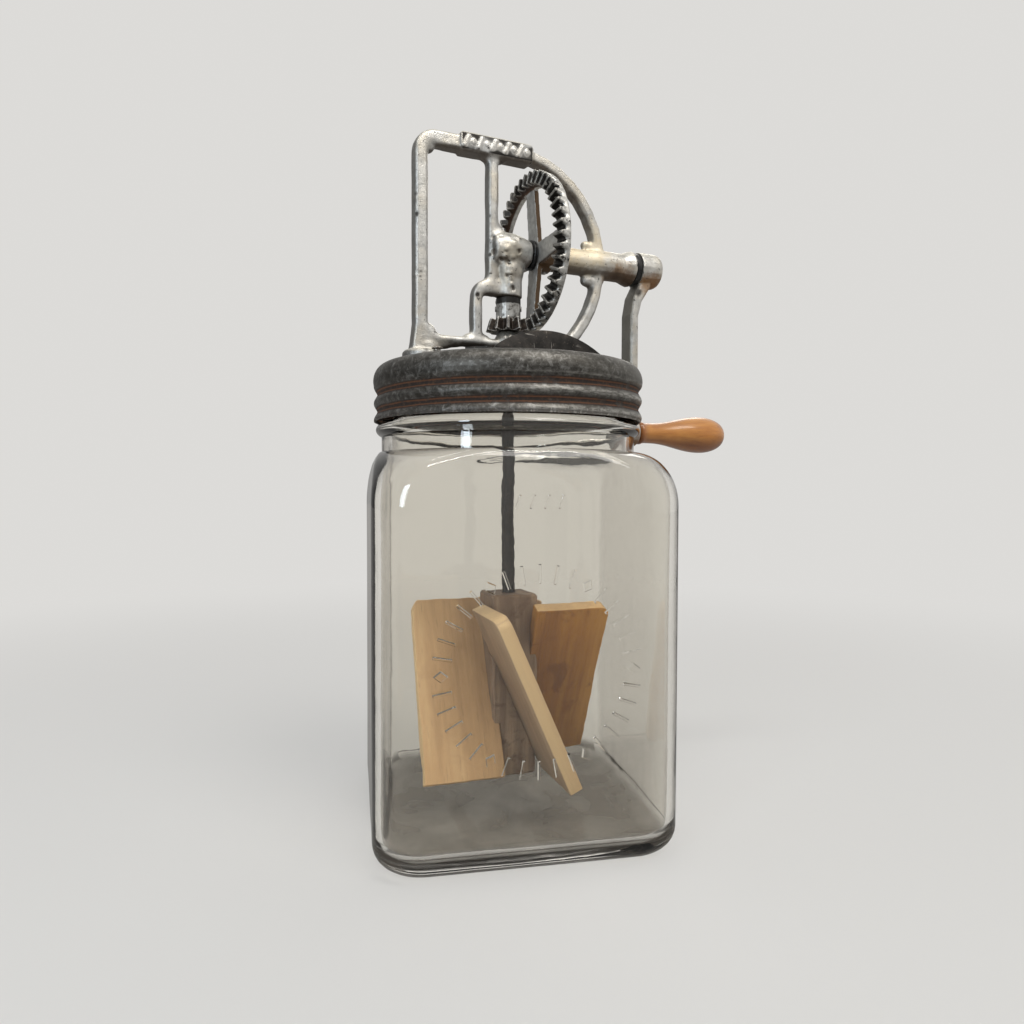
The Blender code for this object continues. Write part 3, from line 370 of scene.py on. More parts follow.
class Finish(Nodes):
    def __init__(self, name, **constants):
        self.material = bpy.data.materials.new(name)
        self.material.use_nodes = True
        super().__init__(self.material.node_tree)
        self.shader = self.tree.nodes["Principled BSDF"]
        self.skin = Wire(self, self.shader.outputs[0])
        for key, value in constants.items():
            self.set(key.replace("_", " "), value)
        self.place = self.node("TexCoord", out="Object")

    def set(self, name, value):
        self.feed(self.shader.inputs[name], value)

    # The place on the piece, turned and stretched, where a pattern reads it
    def stretched(self, scale=(1, 1, 1), turn=(0, 0, 0), move=(0, 0, 0)):
        values = {"Vector": self.place, "Scale": scale, "Rotation": turn, "Location": move}
        return self.node("Mapping", None, values)

    def noise(self, scale, detail=4, rough=0.55, at=None, warp=0.0):
        values = {"Vector": at or self.place, "Scale": scale, "Detail": detail,
                  "Roughness": rough, "Distortion": warp}
        return self.node("TexNoise", None, values)

    def ramp(self, share, *stops):
        return self.node("ValToRGB", {"stops": stops}, {"Fac": share})

    def mix(self, share, first, second):
        return self.node("Mix", {"data_type": "RGBA"}, {0: share, 6: first, 7: second}, out=2)

    def split(self, wire=None):
        joined = self.node("SeparateXYZ", None, {0: wire or self.place})
        return [Wire(self, socket) for socket in joined.socket.node.outputs]

    def normal(self):
        return self.node("TexCoord", out="Normal")

    # 1 on ridges and corners, 0.5 on flats, 0 in hollows
    def ridges(self):
        return self.node("NewGeometry", out="Pointiness")

    def bump(self, height, distance, strength=1.0):
        values = {"Height": height, "Distance": distance, "Strength": strength}
        self.set("Normal", self.node("Bump", None, values))

    def done(self, colour, roughness, metallic=None):
        self.set("Base Color", colour)
        self.set("Roughness", roughness)
        if metallic is not None:
            self.set("Metallic", metallic)
        return self.material


# Glass jar, sizes in mm
glassJar = {
    "half": 66.45, "corner": 20.0, "wall": 4.0, "floor": 7.0, "heel": 11.5, "innerHeel": 8.0,
    "bodyTop": 151.0, "shoulder": 24.0, "neck": 60.3, "finish": 59.8, "mouth": 56.0,
    "beadLow": 182.2, "beadHigh": 189.0, "beadDepth": 2.9, "top": 212.3, "turn": -13.0,
    "columns": 176, "pushUp": 1.6, "wave": 0.16, "threadDepth": 0.8, "threadPitch": 7.9,
}


def jarRing(half, corner, height, wave=0.0):
    corner = min(corner, half)
    inset = half - corner
    count = glassJar["columns"]
    turn = Matrix.Rotation(math.radians(glassJar["turn"]), 2)
    ring = []
    for column in range(count):
        even = 2 * math.pi * (column + 0.5) / count
        angle = even + (1 - corner / half) * math.sin(4 * even) / 4
        away = Vector((math.cos(angle), math.sin(angle)))
        hit = away * half / max(abs(away.x), abs(away.y))
        if min(abs(hit.x), abs(hit.y)) > inset:
            middle = Vector((math.copysign(inset, away.x), math.copysign(inset, away.y)))
            lean = middle.dot(away)
            room = max(lean ** 2 - middle.length_squared + corner ** 2, 0)
            hit = away * (lean + math.sqrt(room))
        hit = turn @ hit
        if wave:
            spot = Vector((hit.x, hit.y, height * 0.6)) / 26 + Vector((half, 0, 0))
            hit -= hit.normalized() * wave * (0.5 + noise.noise(spot))
        ring.append(Vector((hit.x, hit.y, height)) * mm)
    return ring


def jarSkin(half, corner, heel, floor, mouth, wave):
    jar = glassJar
    rings = []
    for step, (level, rise) in enumerate(quarter(8)):
        inset = heel * (1 - rise)
        rings.append(jarRing(half - inset, corner - inset * corner / (corner + heel),
                             floor + heel * (1 - level), wave * step / 8))
    straight = jar["bodyTop"] - floor - heel
    for step in range(1, 28):
        rings.append(jarRing(half, corner, floor + heel + straight * step / 28, wave))
    for level, rise in quarter(16):
        drawn = 1 - level
        rings.append(jarRing(half + (mouth - half) * drawn, corner + (mouth - corner) * drawn,
                             jar["bodyTop"] + jar["shoulder"] * rise, wave))
    return rings


def makeJar():
    jar = glassJar
    wave, neck, finish = jar["wave"], jar["neck"], jar["finish"]
    low, high, top, mouth = jar["beadLow"], jar["beadHigh"], jar["top"], jar["mouth"]
    rings = []
    for share in (0.02, 0.3, 0.6, 0.85, 0.97):
        lift = jar["pushUp"] * (1 - share ** 2) if share < 0.95 else 0
        rings.append(jarRing((jar["half"] - jar["heel"]) * share,
                             jar["corner"] * share * 0.63, lift))
    rings += jarSkin(jar["half"], jar["corner"], jar["heel"], 0, neck, wave)
    neckLow = jar["bodyTop"] + jar["shoulder"]
    for share in (0.3, 0.6, 0.9):
        rings.append(jarRing(neck, neck, neckLow + (low - neckLow) * share, wave / 2))
    for step in range(11):
        share = step / 10
        swell = jar["beadDepth"] * math.sin(math.pi * share) ** 0.7
        radius = neck + (finish - neck) * share + swell
        rings.append(jarRing(radius, radius, low + (high - low) * share))
    for step in range(1, 37):
        rings.append(threadRing(high + (top - 1.2 - high) * step / 36))
    for radius, drop in ((finish - 0.3, 0.5), (finish - 1.1, 0),
                         (mouth + 1.1, 0), (mouth + 0.3, 0.5)):
        rings.append(jarRing(radius, radius, top - drop))
    for height in (top - 1.3, 205, 197, 189, 182):
        rings.append(jarRing(mouth, mouth, height, -wave / 2))
    inner = jar["half"] - jar["wall"]
    rings += reversed(jarSkin(inner, jar["corner"] - jar["wall"], jar["innerHeel"],
                              jar["floor"], mouth, -wave))
    for share in (0.9, 0.6, 0.3, 0.02):
        rise = jar["pushUp"] * 0.3 * (1 - share ** 2)
        rings.append(jarRing((inner - jar["innerHeel"]) * share, jar["corner"] * share * 0.5,
                             jar["floor"] + rise))
    piece = ringSkin("jar_glass_body", rings)
    for inside in (True, False):  # the last rings on the inner floor and under the base
        bpy.ops.mesh.select_all(action="DESELECT")
        edit = bmesh.from_edit_mesh(piece.data)
        for edge in edit.edges:
            upper = edge.verts[0].co.z > jar["floor"] * mm / 2
            edge.select_set(edge.is_boundary and upper == inside)
        bmesh.update_edit_mesh(piece.data)
        bpy.ops.mesh.edge_face_add()
    closeUp(piece)
    return piece


# A ring of the glass thread, which climbs one pitch in a turn and fades out at both ends
def threadRing(height):
    jar = glassJar
    above, below = height - jar["beadHigh"] - 3, jar["top"] - 4 - height
    ends = min(max(above / 2, 0), max(below / 2, 0), 1)
    ring = jarRing(jar["finish"], jar["finish"], height)
    for point in ring:
        turn = math.atan2(point.y, point.x) / (2 * math.pi)
        climb = (height - jar["beadHigh"]) / jar["threadPitch"] - turn
        ridge = max(math.cos(2 * math.pi * (climb - 0.25)), 0) ** 3
        point.xy *= 1 + jar["threadDepth"] * ridge * ends / jar["finish"]
    return ring


# Raised marks on the front face: a ring of bars and lozenges that stand for no letter
glassMarks = {
    "centreHigh": 84.0, "radius": 40.0, "count": 36, "proud": 0.95, "sunk": 0.5,
    "bar": (1.7, 8.2), "lozenge": (5.4, 7.0), "upperBar": (1.3, 6.0), "upperHigh": 153.0,
    "upperStep": 6, "upperLean": 0.35,
}


def makeMark(wide, tall, turn, across, high):
    marks = glassMarks
    deselectAll()
    bpy.ops.mesh.primitive_cube_add(size=1)
    piece = bpy.context.object
    piece.data.transform(Matrix.Diagonal((wide, marks["proud"] + marks["sunk"], tall, 1)))
    lozenge = wide > 2
    for vert in piece.data.vertices:
        if vert.co.y < 0:  # the outer face is smaller, as glass leaves a mould
            vert.co.x *= 0.70 if lozenge else 0.35
            vert.co.z *= 0.88
        if lozenge:
            stretch = abs(vert.co.x) / (wide / 2)
            if (vert.co.x < 0) == (vert.co.z > 0):
                vert.co.x, vert.co.z = 0, math.copysign(tall / 2 * stretch, vert.co.z)
            else:
                vert.co.x, vert.co.z = math.copysign(wide / 2 * stretch, vert.co.x), 0
    out = glassJar["half"] + (marks["proud"] - marks["sunk"]) / 2 - glassJar["wave"] / 2
    place = Matrix.Translation((across, -out, high)) @ Matrix.Rotation(turn, 4, "Y")
    swing = Matrix.Rotation(math.radians(glassJar["turn"]), 4, "Z")
    piece.data.transform(Matrix.Scale(mm, 4) @ swing @ place)
    return piece


def addMarks(jar):
    marks = glassMarks
    pieces = []
    for number in range(marks["count"]):
        turn = 2 * math.pi * number / marks["count"]
        wide, tall = marks["lozenge"] if number % 6 == 3 else marks["bar"]
        pieces.append(makeMark(wide, tall, turn, marks["radius"] * math.sin(turn),
                               marks["centreHigh"] + marks["radius"] * math.cos(turn)))
    for side in (-1.5, -0.5, 0.5, 1.5):
        pieces.append(makeMark(*marks["upperBar"], marks["upperLean"], side * marks["upperStep"],
                               marks["upperHigh"]))
    joined = joinPieces(pieces)
    workOn(joined)
    bpy.ops.object.mode_set(mode="EDIT")
    bpy.ops.mesh.select_all(action="SELECT")
    bpy.ops.mesh.normals_make_consistent(inside=False)
    bpy.ops.object.mode_set(mode="OBJECT")
    combine(jar, joined, "UNION")


# Screw cap, sizes in mm
screwCap = {
    "low": 189.3, "top": 215.5, "sheet": 1.0, "grooveRadius": 62.25, "threadDepth": 1.65,
    "pitch": 7.9, "firstGroove": 193.9, "radius": 64.2, "rimHigh": 7.5, "rimWide": 5.6,
    "hole": 5.95, "columns": 224, "vents": (2.0, 40.5, 3, 8, 35), "dents": 0.10,
    "rivets": ((-38.0, -6.0), (37.0, -6.0)), "rivetHole": 1.8,
}


# How far the wall stands out from the bottom of its rolled grooves, at a height and a turn
def capSwell(height, turn):
    cap = screwCap
    lead = (turn / (2 * math.pi) - 0.5) * cap["pitch"] * 0.42
    phase = (height - cap["firstGroove"] - lead) / cap["pitch"]
    swell = ((1 - math.cos(2 * math.pi * phase)) / 2) ** 0.8
    if phase < -0.28:
        swell = max(swell, 0.55)
    return 1.0 if phase > 1.5 else swell


def makeCap():
    cap = screwCap
    low, top = cap["low"], cap["top"]
    rimLow = top - cap["rimHigh"]
    outer = [(cap["radius"], low + (rimLow - low) * step / 48) for step in range(49)]
    outer += [(cap["radius"] - cap["rimWide"] * (1 - level), rimLow + cap["rimHigh"] * rise)
              for level, rise in quarter(10, 1)]
    outer += [(radius, top) for radius in (56, 52, 46, 40, 34, 28, 22, 16, 11, cap["hole"])]
    inner = []
    for at, (radius, height) in enumerate(outer):
        before, after = outer[max(at - 1, 0)], outer[min(at + 1, len(outer) - 1)]
        along = Vector((after[0] - before[0], after[1] - before[1])).normalized()
        inner.append((radius - along.y * cap["sheet"], height + along.x * cap["sheet"]))
    inner[-1] = (cap["hole"], top - cap["sheet"])
    profile = outer + inner[::-1] + outer[:1]
    points = [(radius * mm, height * mm) for radius, height in profile]
    piece = turnPiece("cap_shell", points, steps=cap["columns"])
    shift = cap["radius"] - cap["grooveRadius"]
    for vert in piece.data.vertices:
        height = vert.co.z / mm
        radius = vert.co.xy.length / mm
        if radius > 58:
            swell = capSwell(height, math.atan2(vert.co.y, vert.co.x) % (2 * math.pi))
            blend = min(max((height - rimLow + 3) / 3, 0), 1)
            move = -shift + cap["threadDepth"] * swell
            vert.co.xy *= 1 + move * (1 - blend) / radius
        dent = cap["dents"] * mm
        wander = noise.noise(vert.co / (14 * mm))
        if height > top - 2 and radius < 56:
            vert.co.z -= dent * (0.5 + 0.5 * wander) * min((radius - 6) / 8, 1)
        else:
            vert.co.xy *= 1 - dent * (0.5 + wander) / vert.co.xy.length
    cutHoles(piece, [(x, y, cap["rivetHole"]) for x, y in cap["rivets"]] + ventPlaces())
    smoothTo(piece, 50)
    return piece


def ventPlaces():
    size, circle, count, spread, offset = screwCap["vents"]
    places = []
    for middle in (-90, 90):
        for side in (-1, 1):
            for at in range(count):
                angle = math.radians(middle + side * offset + (at - (count - 1) / 2) * spread)
                places.append((circle * math.cos(angle), circle * math.sin(angle), size))
    return places


def cutHoles(piece, holes):
    cutters = []
    for x, y, radius in holes:
        cutters.append(makeCutter(radius, (x, y, screwCap["top"]), 32))
    combine(piece, joinPieces(cutters), "DIFFERENCE")


def makeCutter(radius, place, sides):
    deselectAll()
    bpy.ops.mesh.primitive_cylinder_add(vertices=sides, radius=radius * mm, depth=6 * mm)
    cutter = bpy.context.object
    cutter.data.transform(Matrix.Translation(Vector(place) * mm))
    return cutter


# Vent shutter, sizes in mm
ventShutter = {
    "low": 217.3, "sheet": 1.1, "disc": 31.0, "wing": 47.5, "half": 52.0, "chord": 37.8,
    "lean": 6.0, "hole": 5.95, "edge": 0.18, "rest": 5.0,
}


def makeShutter():
    plate = ventShutter
    wing, chord, low, sheet = plate["wing"], plate["chord"], plate["low"], plate["sheet"]
    outline = []
    for middle in (-90, 90):
        for step in range(41):
            angle = math.radians(middle + plate["half"] * (step / 20 - 1))
            outline.append((wing * math.cos(angle), max(wing * math.sin(angle), -chord)))
        for step in range(25):
            turn = middle + plate["half"] + (180 - 2 * plate["half"]) * step / 24
            angle = math.radians(turn)
            outline.append((plate["disc"] * math.cos(angle), plate["disc"] * math.sin(angle)))
    piece = makePlate("shutter_plate", outline, low, sheet)
    reach = math.sqrt(wing ** 2 - chord ** 2)
    tab = [(-reach, 0)]
    for step in range(1, 32):
        x = reach * (step / 16 - 1)
        tab.append((x, math.sqrt(max(wing ** 2 - x ** 2, 0)) - chord + sheet / 2))
    tab.append((reach, 0))
    flap = makePlate("shutter_tab", tab, 0, sheet)
    up = Matrix.Rotation(math.radians(90 - plate["lean"]), 4, "X")
    flap.data.transform(Matrix.Translation(Vector((0, -chord, low)) * mm) @ up)
    combine(piece, flap, "UNION")
    combine(piece, makeCutter(plate["hole"], (0, 0, low), 64), "DIFFERENCE")
    roundEdges(piece, plate["edge"], 2, 50, 40)
    piece.data.transform(Matrix.Rotation(math.radians(plate["rest"]), 4, "Z"))
    return piece


# A flat plate from an outline of (x, y) in mm
def makePlate(name, outline, low, thick):
    deselectAll()
    bpy.ops.mesh.primitive_circle_add(vertices=len(outline), radius=1, fill_type="NOTHING")
    piece = startPiece(name)
    edit = bmesh.from_edit_mesh(piece.data)
    row = sorted(edit.verts, key=lambda v: math.atan2(v.co.y, v.co.x) % (2 * math.pi))
    for vert, (x, y) in zip(row, outline):
        vert.co = Vector((x, y, low)) * mm
    bpy.ops.mesh.select_all(action="SELECT")
    bpy.ops.mesh.edge_face_add()
    bpy.ops.mesh.extrude_region_move(TRANSFORM_OT_translate={"value": (0, 0, thick * mm)})
    closeUp(piece)
    return piece


# Cast frame: its own CAD shape, with the swellings and marks that the sand mould left
castFrame = {
    "voxel": 0.52 * mm, "rounds": 5, "cornerRounds": 44, "waver": 0.10 * mm,
    "lumps": [
        ((-8.6, 0, 283.5), (3.4, 3.1, 7.5)), ((-8.8, 0, 257), (3.6, 3.2, 8)),
        ((0.2, 0, 262.5), (7.4, 7.9, 8)), ((-6.2, 0, 279.5), (4, 3.4, 5)),
        ((47, 0, 279.6), (4.6, 3.3, 3.2)), ((42.4, 0, 280.4), (3, 2.8, 2.4)),
        ((44, 0, 262.8), (4.6, 3.2, 3.2)), ((49.4, 0, 263.4), (3.6, 3, 3)),
        ((-12.5, 0, 315), (3.2, 3, 3)), ((-5, 0, 315), (3.2, 3, 3)),
        ((-40.6, 0, 230.6), (3.8, 3.6, 3.6)), ((-41.5, 0, 223.6), (7.2, 4.6, 3.6)),
        ((-34, 0, 226), (6.8, 3.4, 3.4)), ((-28, 0, 226.6), (5.6, 3.4, 2.8)),
        ((-22, 0, 227), (5, 3.2, 2.4)),
        ((-20, 0, 229.4), (3.4, 3.2, 2)), ((-13.6, 0, 229.4), (3.4, 3.2, 2)),
        ((-15.8, 0, 251), (3, 3.1, 3.2)), ((-40.2, 0, 313.8), (2.8, 3, 2.8)),
        ((23, 0, 314.2), (6, 2.6, 2)), ((36, 0, 228.6), (5, 3.4, 2.2)),
    ],
    "corners": [
        ((-9, 0, 282), 13), ((-9, 0, 256), 12), ((0, 0, 262), 12),
        ((6, 0, 262), 8), ((6, 0, 281), 8), ((-16, 0, 250), 8),
        ((-9, 0, 313), 8.5), ((44.5, 0, 281), 9), ((46, 0, 262), 9),
        ((-40, 0, 227), 12), ((-17, 0, 229.5), 8), ((-40, 0, 314), 8),
        ((36, 0, 227), 8), ((-28, 0, 226), 7),
    ],
    "spots": [
        ((-8, -5.2, 273.6), 2.2, 0.75), ((-8.8, -4.6, 269.4), 2.4, -1.12),
        ((-4.6, -8, 270.6), 2, 0.75), ((-0.8, -8.8, 273.4), 2.4, 0.68),
        ((1.8, -8.8, 269.8), 1.8, -0.90), ((-6.4, -6.4, 265.4), 1.8, -1.05),
        ((-3, -7.2, 264.6), 1.6, -0.90), ((-4.8, -7.2, 267.6), 2, 0.75),
        ((-1, -8.2, 267), 2, 0.75), ((-6.6, -6.6, 277), 1.8, -0.60),
        ((2, -7, 275.8), 1.8, 0.60), ((-9.5, -3.4, 276.5), 1.6, -0.68),
        ((-1.6, -6.4, 260), 1.5, 0.68), ((-1.5, -6.5, 257.5), 1.5, 0.75),
        ((-1.3, -6.5, 255), 1.6, 0.68), ((-0.4, -6.6, 252.8), 1.7, -0.83),
        ((-3.4, -5.8, 258.8), 1.2, -0.52), ((-3, -6, 261.6), 1.2, -0.52),
        ((36, -3, 281.4), 1.6, -0.40), ((59, -6.4, 265.6), 1.9, -0.55),
        ((-46.8, -3, 282), 1.6, -0.35), ((-46.6, -3.2, 255.4), 1.6, -0.35),
        ((-17.3, -3.2, 249.2), 1.5, -0.35), ((-11.2, -3.2, 286.7), 1.3, -0.35),
    ],
    "pad": (-23.4, 3.42, 10), "padFace": 4.42, "padMiddle": 318.4, "top": 323.10,
    "padForms": (((0.62, 0.9, 3.1), -26), ((1.02, 0.9, 1.02), -45)),
}


def makeFrame():
    cast = castFrame
    piece = copyNode("frame", "cast_frame")
    lumps = list(cast["lumps"])
    first, step, count = cast["pad"]
    for side in (-1, 1):
        for number in range(count):
            place = (first + step * number, side * cast["padFace"], cast["padMiddle"])
            size, lean = cast["padForms"][number % 2]
            lumps.append((place, size, lean * side))
    addLumps(piece, lumps)
    castSkin(piece, cast["voxel"], cast["rounds"])
    fillCorners(piece, cast["corners"], cast["cornerRounds"])
    pressSpots(piece, cast["spots"])
    for vert in piece.data.vertices:
        vert.co += noise.noise_vector(vert.co / (9 * mm)) * cast["waver"]
        vert.co.z = min(vert.co.z, cast["top"] * mm)
    return piece


# Crank, bevel wheel and pinion keep their CAD shape, with edges as a worn casting has
castParts = {
    "crank_arm": ("crank_casting", 0.42 * mm, 5), "drive_gear": ("bevel_wheel", 0.42 * mm, 2),
    "pinion": ("bevel_pinion", 0.28 * mm, 2),
}


def makeCast(node):
    name, voxel, rounds = castParts[node]
    piece = copyNode(node, name)
    castSkin(piece, voxel, rounds)
    return piece


# Wooden dasher, sizes in mm
dasherWood = {
    "root": 7.5, "reach": 45.0, "thick": 6.5, "rise": 81.0, "low": 23.0, "pitch": 24.0,
    "first": -6.0, "corner": 5.0, "edge": 0.7, "hubEdge": 0.5,
}


def paddleTurn(number):
    board = dasherWood
    out = Matrix.Rotation(math.radians(board["first"] + 90 * number), 4, "Z")
    return out @ Matrix.Rotation(math.radians(board["pitch"]), 4, "X")


def paddleMiddle():
    return (dasherWood["low"] + dasherWood["rise"] / 2) * mm


def makePaddle():
    board = dasherWood
    pitch = math.radians(board["pitch"])
    half = (board["rise"] - board["thick"] * math.sin(pitch)) / math.cos(pitch) / 2
    root, reach, corner = board["root"], board["reach"], board["corner"]
    outline = [(root, -half), (reach, -half)]
    outline += [(reach - corner + corner * level, half - corner + corner * rise)
                for level, rise in quarter(8)]
    outline.append((root, half))
    piece = makePlate("dasher_paddle", outline, -board["thick"] / 2, board["thick"])
    piece.data.transform(Matrix.Rotation(math.pi / 2, 4, "X"))
    roundEdges(piece, board["edge"], 3, 40, 35)
    return piece


def placePaddle(first, number):
    piece = copyPiece(first, "dasher_paddle_%d" % (number + 1))
    lift = Matrix.Translation((0, 0, paddleMiddle()))
    piece.data.transform(lift @ paddleTurn(number))
    return piece


def makeHub():
    piece = copyNode("dasher_hub", "dasher_block")
    roundEdges(piece, dasherWood["hubEdge"], 2, 60, 35)
    return piece


# Turned grip, sizes in mm
turnedGrip = {
    "left": 73.52, "long": 54.45, "high": 187.5, "neck": 5.6, "belly": 9.65, "bellyShare": 0.74,
    "swellShare": 0.16, "tip": 3.4, "bore": 2.5, "recess": 3.3, "recessDeep": 1.3, "collar": 0.35,
}


def makeGrip():
    grip = turnedGrip
    left, long = grip["left"], grip["long"]
    neck, belly, tip = grip["neck"], grip["belly"], grip["tip"]
    middle, start = long * grip["bellyShare"], long * grip["swellShare"]
    profile = [(grip["bore"], left), (neck - 1.1, left), (neck - 0.3, left + 0.35),
               (neck + grip["collar"], left + 1.3), (neck + grip["collar"], left + 2.1),
               (neck - 0.15, left + 3.2), (neck - 0.35, left + 5.2)]
    for step in range(25):
        share = step / 24
        swell = (1 - math.cos(math.pi * share)) / 2
        profile.append((neck - 0.3 * (1 - swell) + (belly - neck) * swell,
                        left + start + (middle - start) * share))
    profile += [(tip + (belly - tip) * level, left + middle + (long - middle) * rise)
                for level, rise in quarter(14, 1)]
    deep = left + long - grip["recessDeep"]
    profile += [(grip["recess"], left + long - 0.1), (grip["recess"], deep),
                (grip["bore"], deep), (grip["bore"], left)]
    points = [(radius * mm, along * mm) for radius, along in profile]
    return turnPiece("turned_grip", points, "X", (0, 0, grip["high"] * mm), 72, smoothAngle=40)


# Pieces that a lathe made: node, body, slot, axis, place, yaw, corner radius and outline, in mm
def rodOutline(radius, low, high, chamfer):
    return [(0, low), (radius - chamfer, low), (radius, low + chamfer),
            (radius, high - chamfer), (radius - chamfer, high), (0, high)]


def ringOutline(inner, outer, low, high):
    return [(inner, low), (outer, low), (outer, high), (inner, high), (inner, low)]


def rivetOutline(radius, low, high, head, tall):
    return [(0, low - tall), (head * 0.6, low - tall), (head, low - tall * 0.4), (head, low),
            (radius, low), (radius, high), (head, high), (head, high + tall * 0.4),
            (head * 0.6, high + tall), (0, high + tall)]


turnedParts = {
    "main_axle": ("crank_axle", "crank", "bright_steel", "X", (0, 0, 271.5), 0, 0.3,
        rodOutline(3.2, -3.6, 81.7, 0.4)),
    "gear_cross_pin": ("gear_pin", "crank", "bright_steel", "Z", (18.9, 0, 271.5), 0, 0.2,
        rodOutline(1.3, -8.2, 8.2, 0.2)),
    "crank_cross_pin": ("crank_pin", "crank", "bright_steel", "Z", (77.02, 0, 271.5), 0, 0.2,
        rodOutline(1.3, -9.3, 9.3, 0.2)),
    "pinion_cross_pin": ("pinion_pin", "dasher", "bright_steel", "Y", (0, 0, 244.41), 65, 0.2,
        rodOutline(1.3, -6.4, 6.4, 0.2)),
    "hub_cross_pin": ("hub_pin", "dasher", "bright_steel", "Y", (0, 0, 99.5), 84, 0.2,
        rodOutline(1.3, -11.4, 11.4, 0.2)),
    "collar_inner": ("inner_washer", "crank", "washer_black", "X", (0, 0, 271.5), 0, 0.35,
        [(3.5, 10.7), (6.8, 10.7), (7.2, 11.1), (7.1, 11.6), (6.5, 11.9), (7.1, 12.2),
        (7.1, 12.6), (3.5, 12.6), (3.5, 10.7)]),
    "collar_outer": ("outer_washer", "crank", "washer_black", "X", (0, 0, 271.5), 0, 0.35,
        ringOutline(3.5, 8.2, 68.82, 71.52)),
    "grip_collar": ("grip_washer", "grip", "rivet_steel", "X", (0, 0, 187.5), 0, 0.15,
        ringOutline(2.5, 4.8, 72.42, 73.22)),
    "grip_pin": ("grip_spindle", "crank", "bright_steel", "X", (0, 0, 187.5), 0, 0.3,
        rivetOutline(2.2, 66.12, 127.00, 3, 1)),
    "foot_rivet_left": ("frame_rivet_left", "lid", "rivet_steel", "Z", (-38, -6, 0), 0, 0.3,
        rivetOutline(1.5, 214.2, 221.7, 2.6, 1.2)),
    "foot_rivet_right": ("frame_rivet_right", "lid", "rivet_steel", "Z", (37, -6, 0), 0, 0.3,
        rivetOutline(1.5, 214.2, 221.7, 2.6, 1.2)),
    "shaft_sleeve": ("shaft_bush", "lid", "rivet_steel", "Z", (0, 0, 0), 0, 0.25,
        [(3.4, 213), (8.3, 213), (8.3, 214.2), (5.7, 214.2), (5.7, 215.8),
        (8.3, 215.8), (8.3, 217), (5.7, 217), (5.7, 218.7), (8.3, 218.7),
        (8.3, 219.9), (3.4, 219.9), (3.4, 213)]),
    "seal_ring": ("gasket", "seal", "seal_rubber", "Z", (0, 0, 0), 0, 0.4,
        ringOutline(55.5, 58.6, 212.6, 214.2)),
}


def makeTurned(name):
    axis, place, yaw, corner, outline = turnedParts[name][3:]
    points = softProfile([(r * mm, z * mm) for r, z in outline], corner * mm)
    place = tuple(value * mm for value in place)
    steps = 128 if name == "seal_ring" else 48
    return turnPiece(name, points, axis, place, steps, math.radians(yaw))


# Dasher shaft: a drawn rod that rust has made uneven
dasherShaft = {"radius": 3.08, "low": 30.0, "high": 261.6, "rows": 260, "rust": 0.30}


def makeShaft():
    rod = dasherShaft
    profile = [(0, rod["low"]), (rod["radius"] - 0.5, rod["low"])]
    for row in range(rod["rows"] + 1):
        share = row / rod["rows"]
        profile.append((rod["radius"], rod["low"] + 0.4 + (rod["high"] - rod["low"] - 0.8) * share))
    profile += [(rod["radius"] - 0.5, rod["high"]), (0, rod["high"])]
    points = [(radius * mm, height * mm) for radius, height in profile]
    piece = turnPiece("dasher_rod", points, steps=40, smoothAngle=60)
    for vert in piece.data.vertices:
        if vert.co.xy.length > 2.8 * mm:
            pits = noise.noise(vert.co / (2.4 * mm)) + 0.6 * noise.noise(vert.co / (0.9 * mm))
            bare = 1 if vert.co.z < 208 * mm else 0.25
            eaten = rod["rust"] * bare * max(0.55 + pits, 0)
            vert.co.xy *= 1 - eaten / rod["radius"]
    return piece


# Looks: one finish for each kind of surface

# Where the glass turns dark (partly painted shade), cloudy or wavy, in m
glassLook = {
    "clear": (0.88, 0.86, 0.81), "edge": (0.17, 0.145, 0.12), "grazingShadeFrom": (0.40, 0.92),
    "inside": (0.0642, 0.0634), "floorFilmAndShade": (0.080, 0.065, 0.048), "filmLow": (0.0052, 0.0066),
    "filmHigh": (0.0140, 0.0080), "seamLow": (0.0109, 0.0112), "seamHigh": (0.0118, 0.0115),
    "shoulderLow": (0.150, 0.162), "shoulderHigh": (0.183, 0.176),
}


def makeGlassLook():
    look = glassLook
    glass = Finish("clear_old_glass", Transmission_Weight=1.0, IOR=1.5)
    z = glass.split()[2]
    cloud = glass.noise(40, 5, 0.58, warp=0.6)
    fine = glass.noise(420, 4, 0.6)
    grazing = glass.node("LayerWeight", None, {"Blend": 0.44}, out="Facing")
    turned = glass.split(glass.stretched(turn=(0, 0, -math.radians(glassJar["turn"]))))
    reach = [side.highest(0 - side) for side in turned[:2]]
    inside = reach[0].highest(reach[1]).between(*look["inside"])
    floorBand = z.between(*look["filmLow"]) * z.between(*look["filmHigh"]) * inside
    haze = floorBand * cloud.between(0.30, 0.62)
    ripple = glass.noise(55, 2, 0.5)
    shoulder = z.between(*look["shoulderLow"]) * z.between(*look["shoulderHigh"])
    waves = glass.noise(60, 1, 0.4, warp=0.5) * shoulder
    glass.bump(ripple * 0.7 + waves * 0.9 + fine * 0.02, 0.0006, 0.35)
    # A dried film on the inner floor, its dark brown tone partly painted shade, and a thin dark
    # seam round the heel
    floorFilmAndShade = glass.node("BsdfPrincipled", None, {"Base Color": look["floorFilmAndShade"], "Roughness": 0.75})
    filmAndShadeShare = floorBand * (0.58 + cloud.between(0.25, 0.8) * 0.22)
    seam = z.between(*look["seamLow"]) * z.between(*look["seamHigh"]) * (1 - inside) * 0.75
    glass.end("Material Output", glass.blend(filmAndShadeShare.highest(seam).lowest(0.75), glass.skin, floorFilmAndShade))
    glass.set("Alpha", 1 - glass.ray("Shadow") * 0.88)
    # Painted shade: the glass is tinted dark brown where it is seen at a grazing angle, standing in
    # for the dark outlines of its thick walls
    grazingShadeTint = glass.mix(grazing.between(*look["grazingShadeFrom"]), look["clear"], look["edge"])
    return glass.done(grazingShadeTint, 0.012 + haze * 0.16)


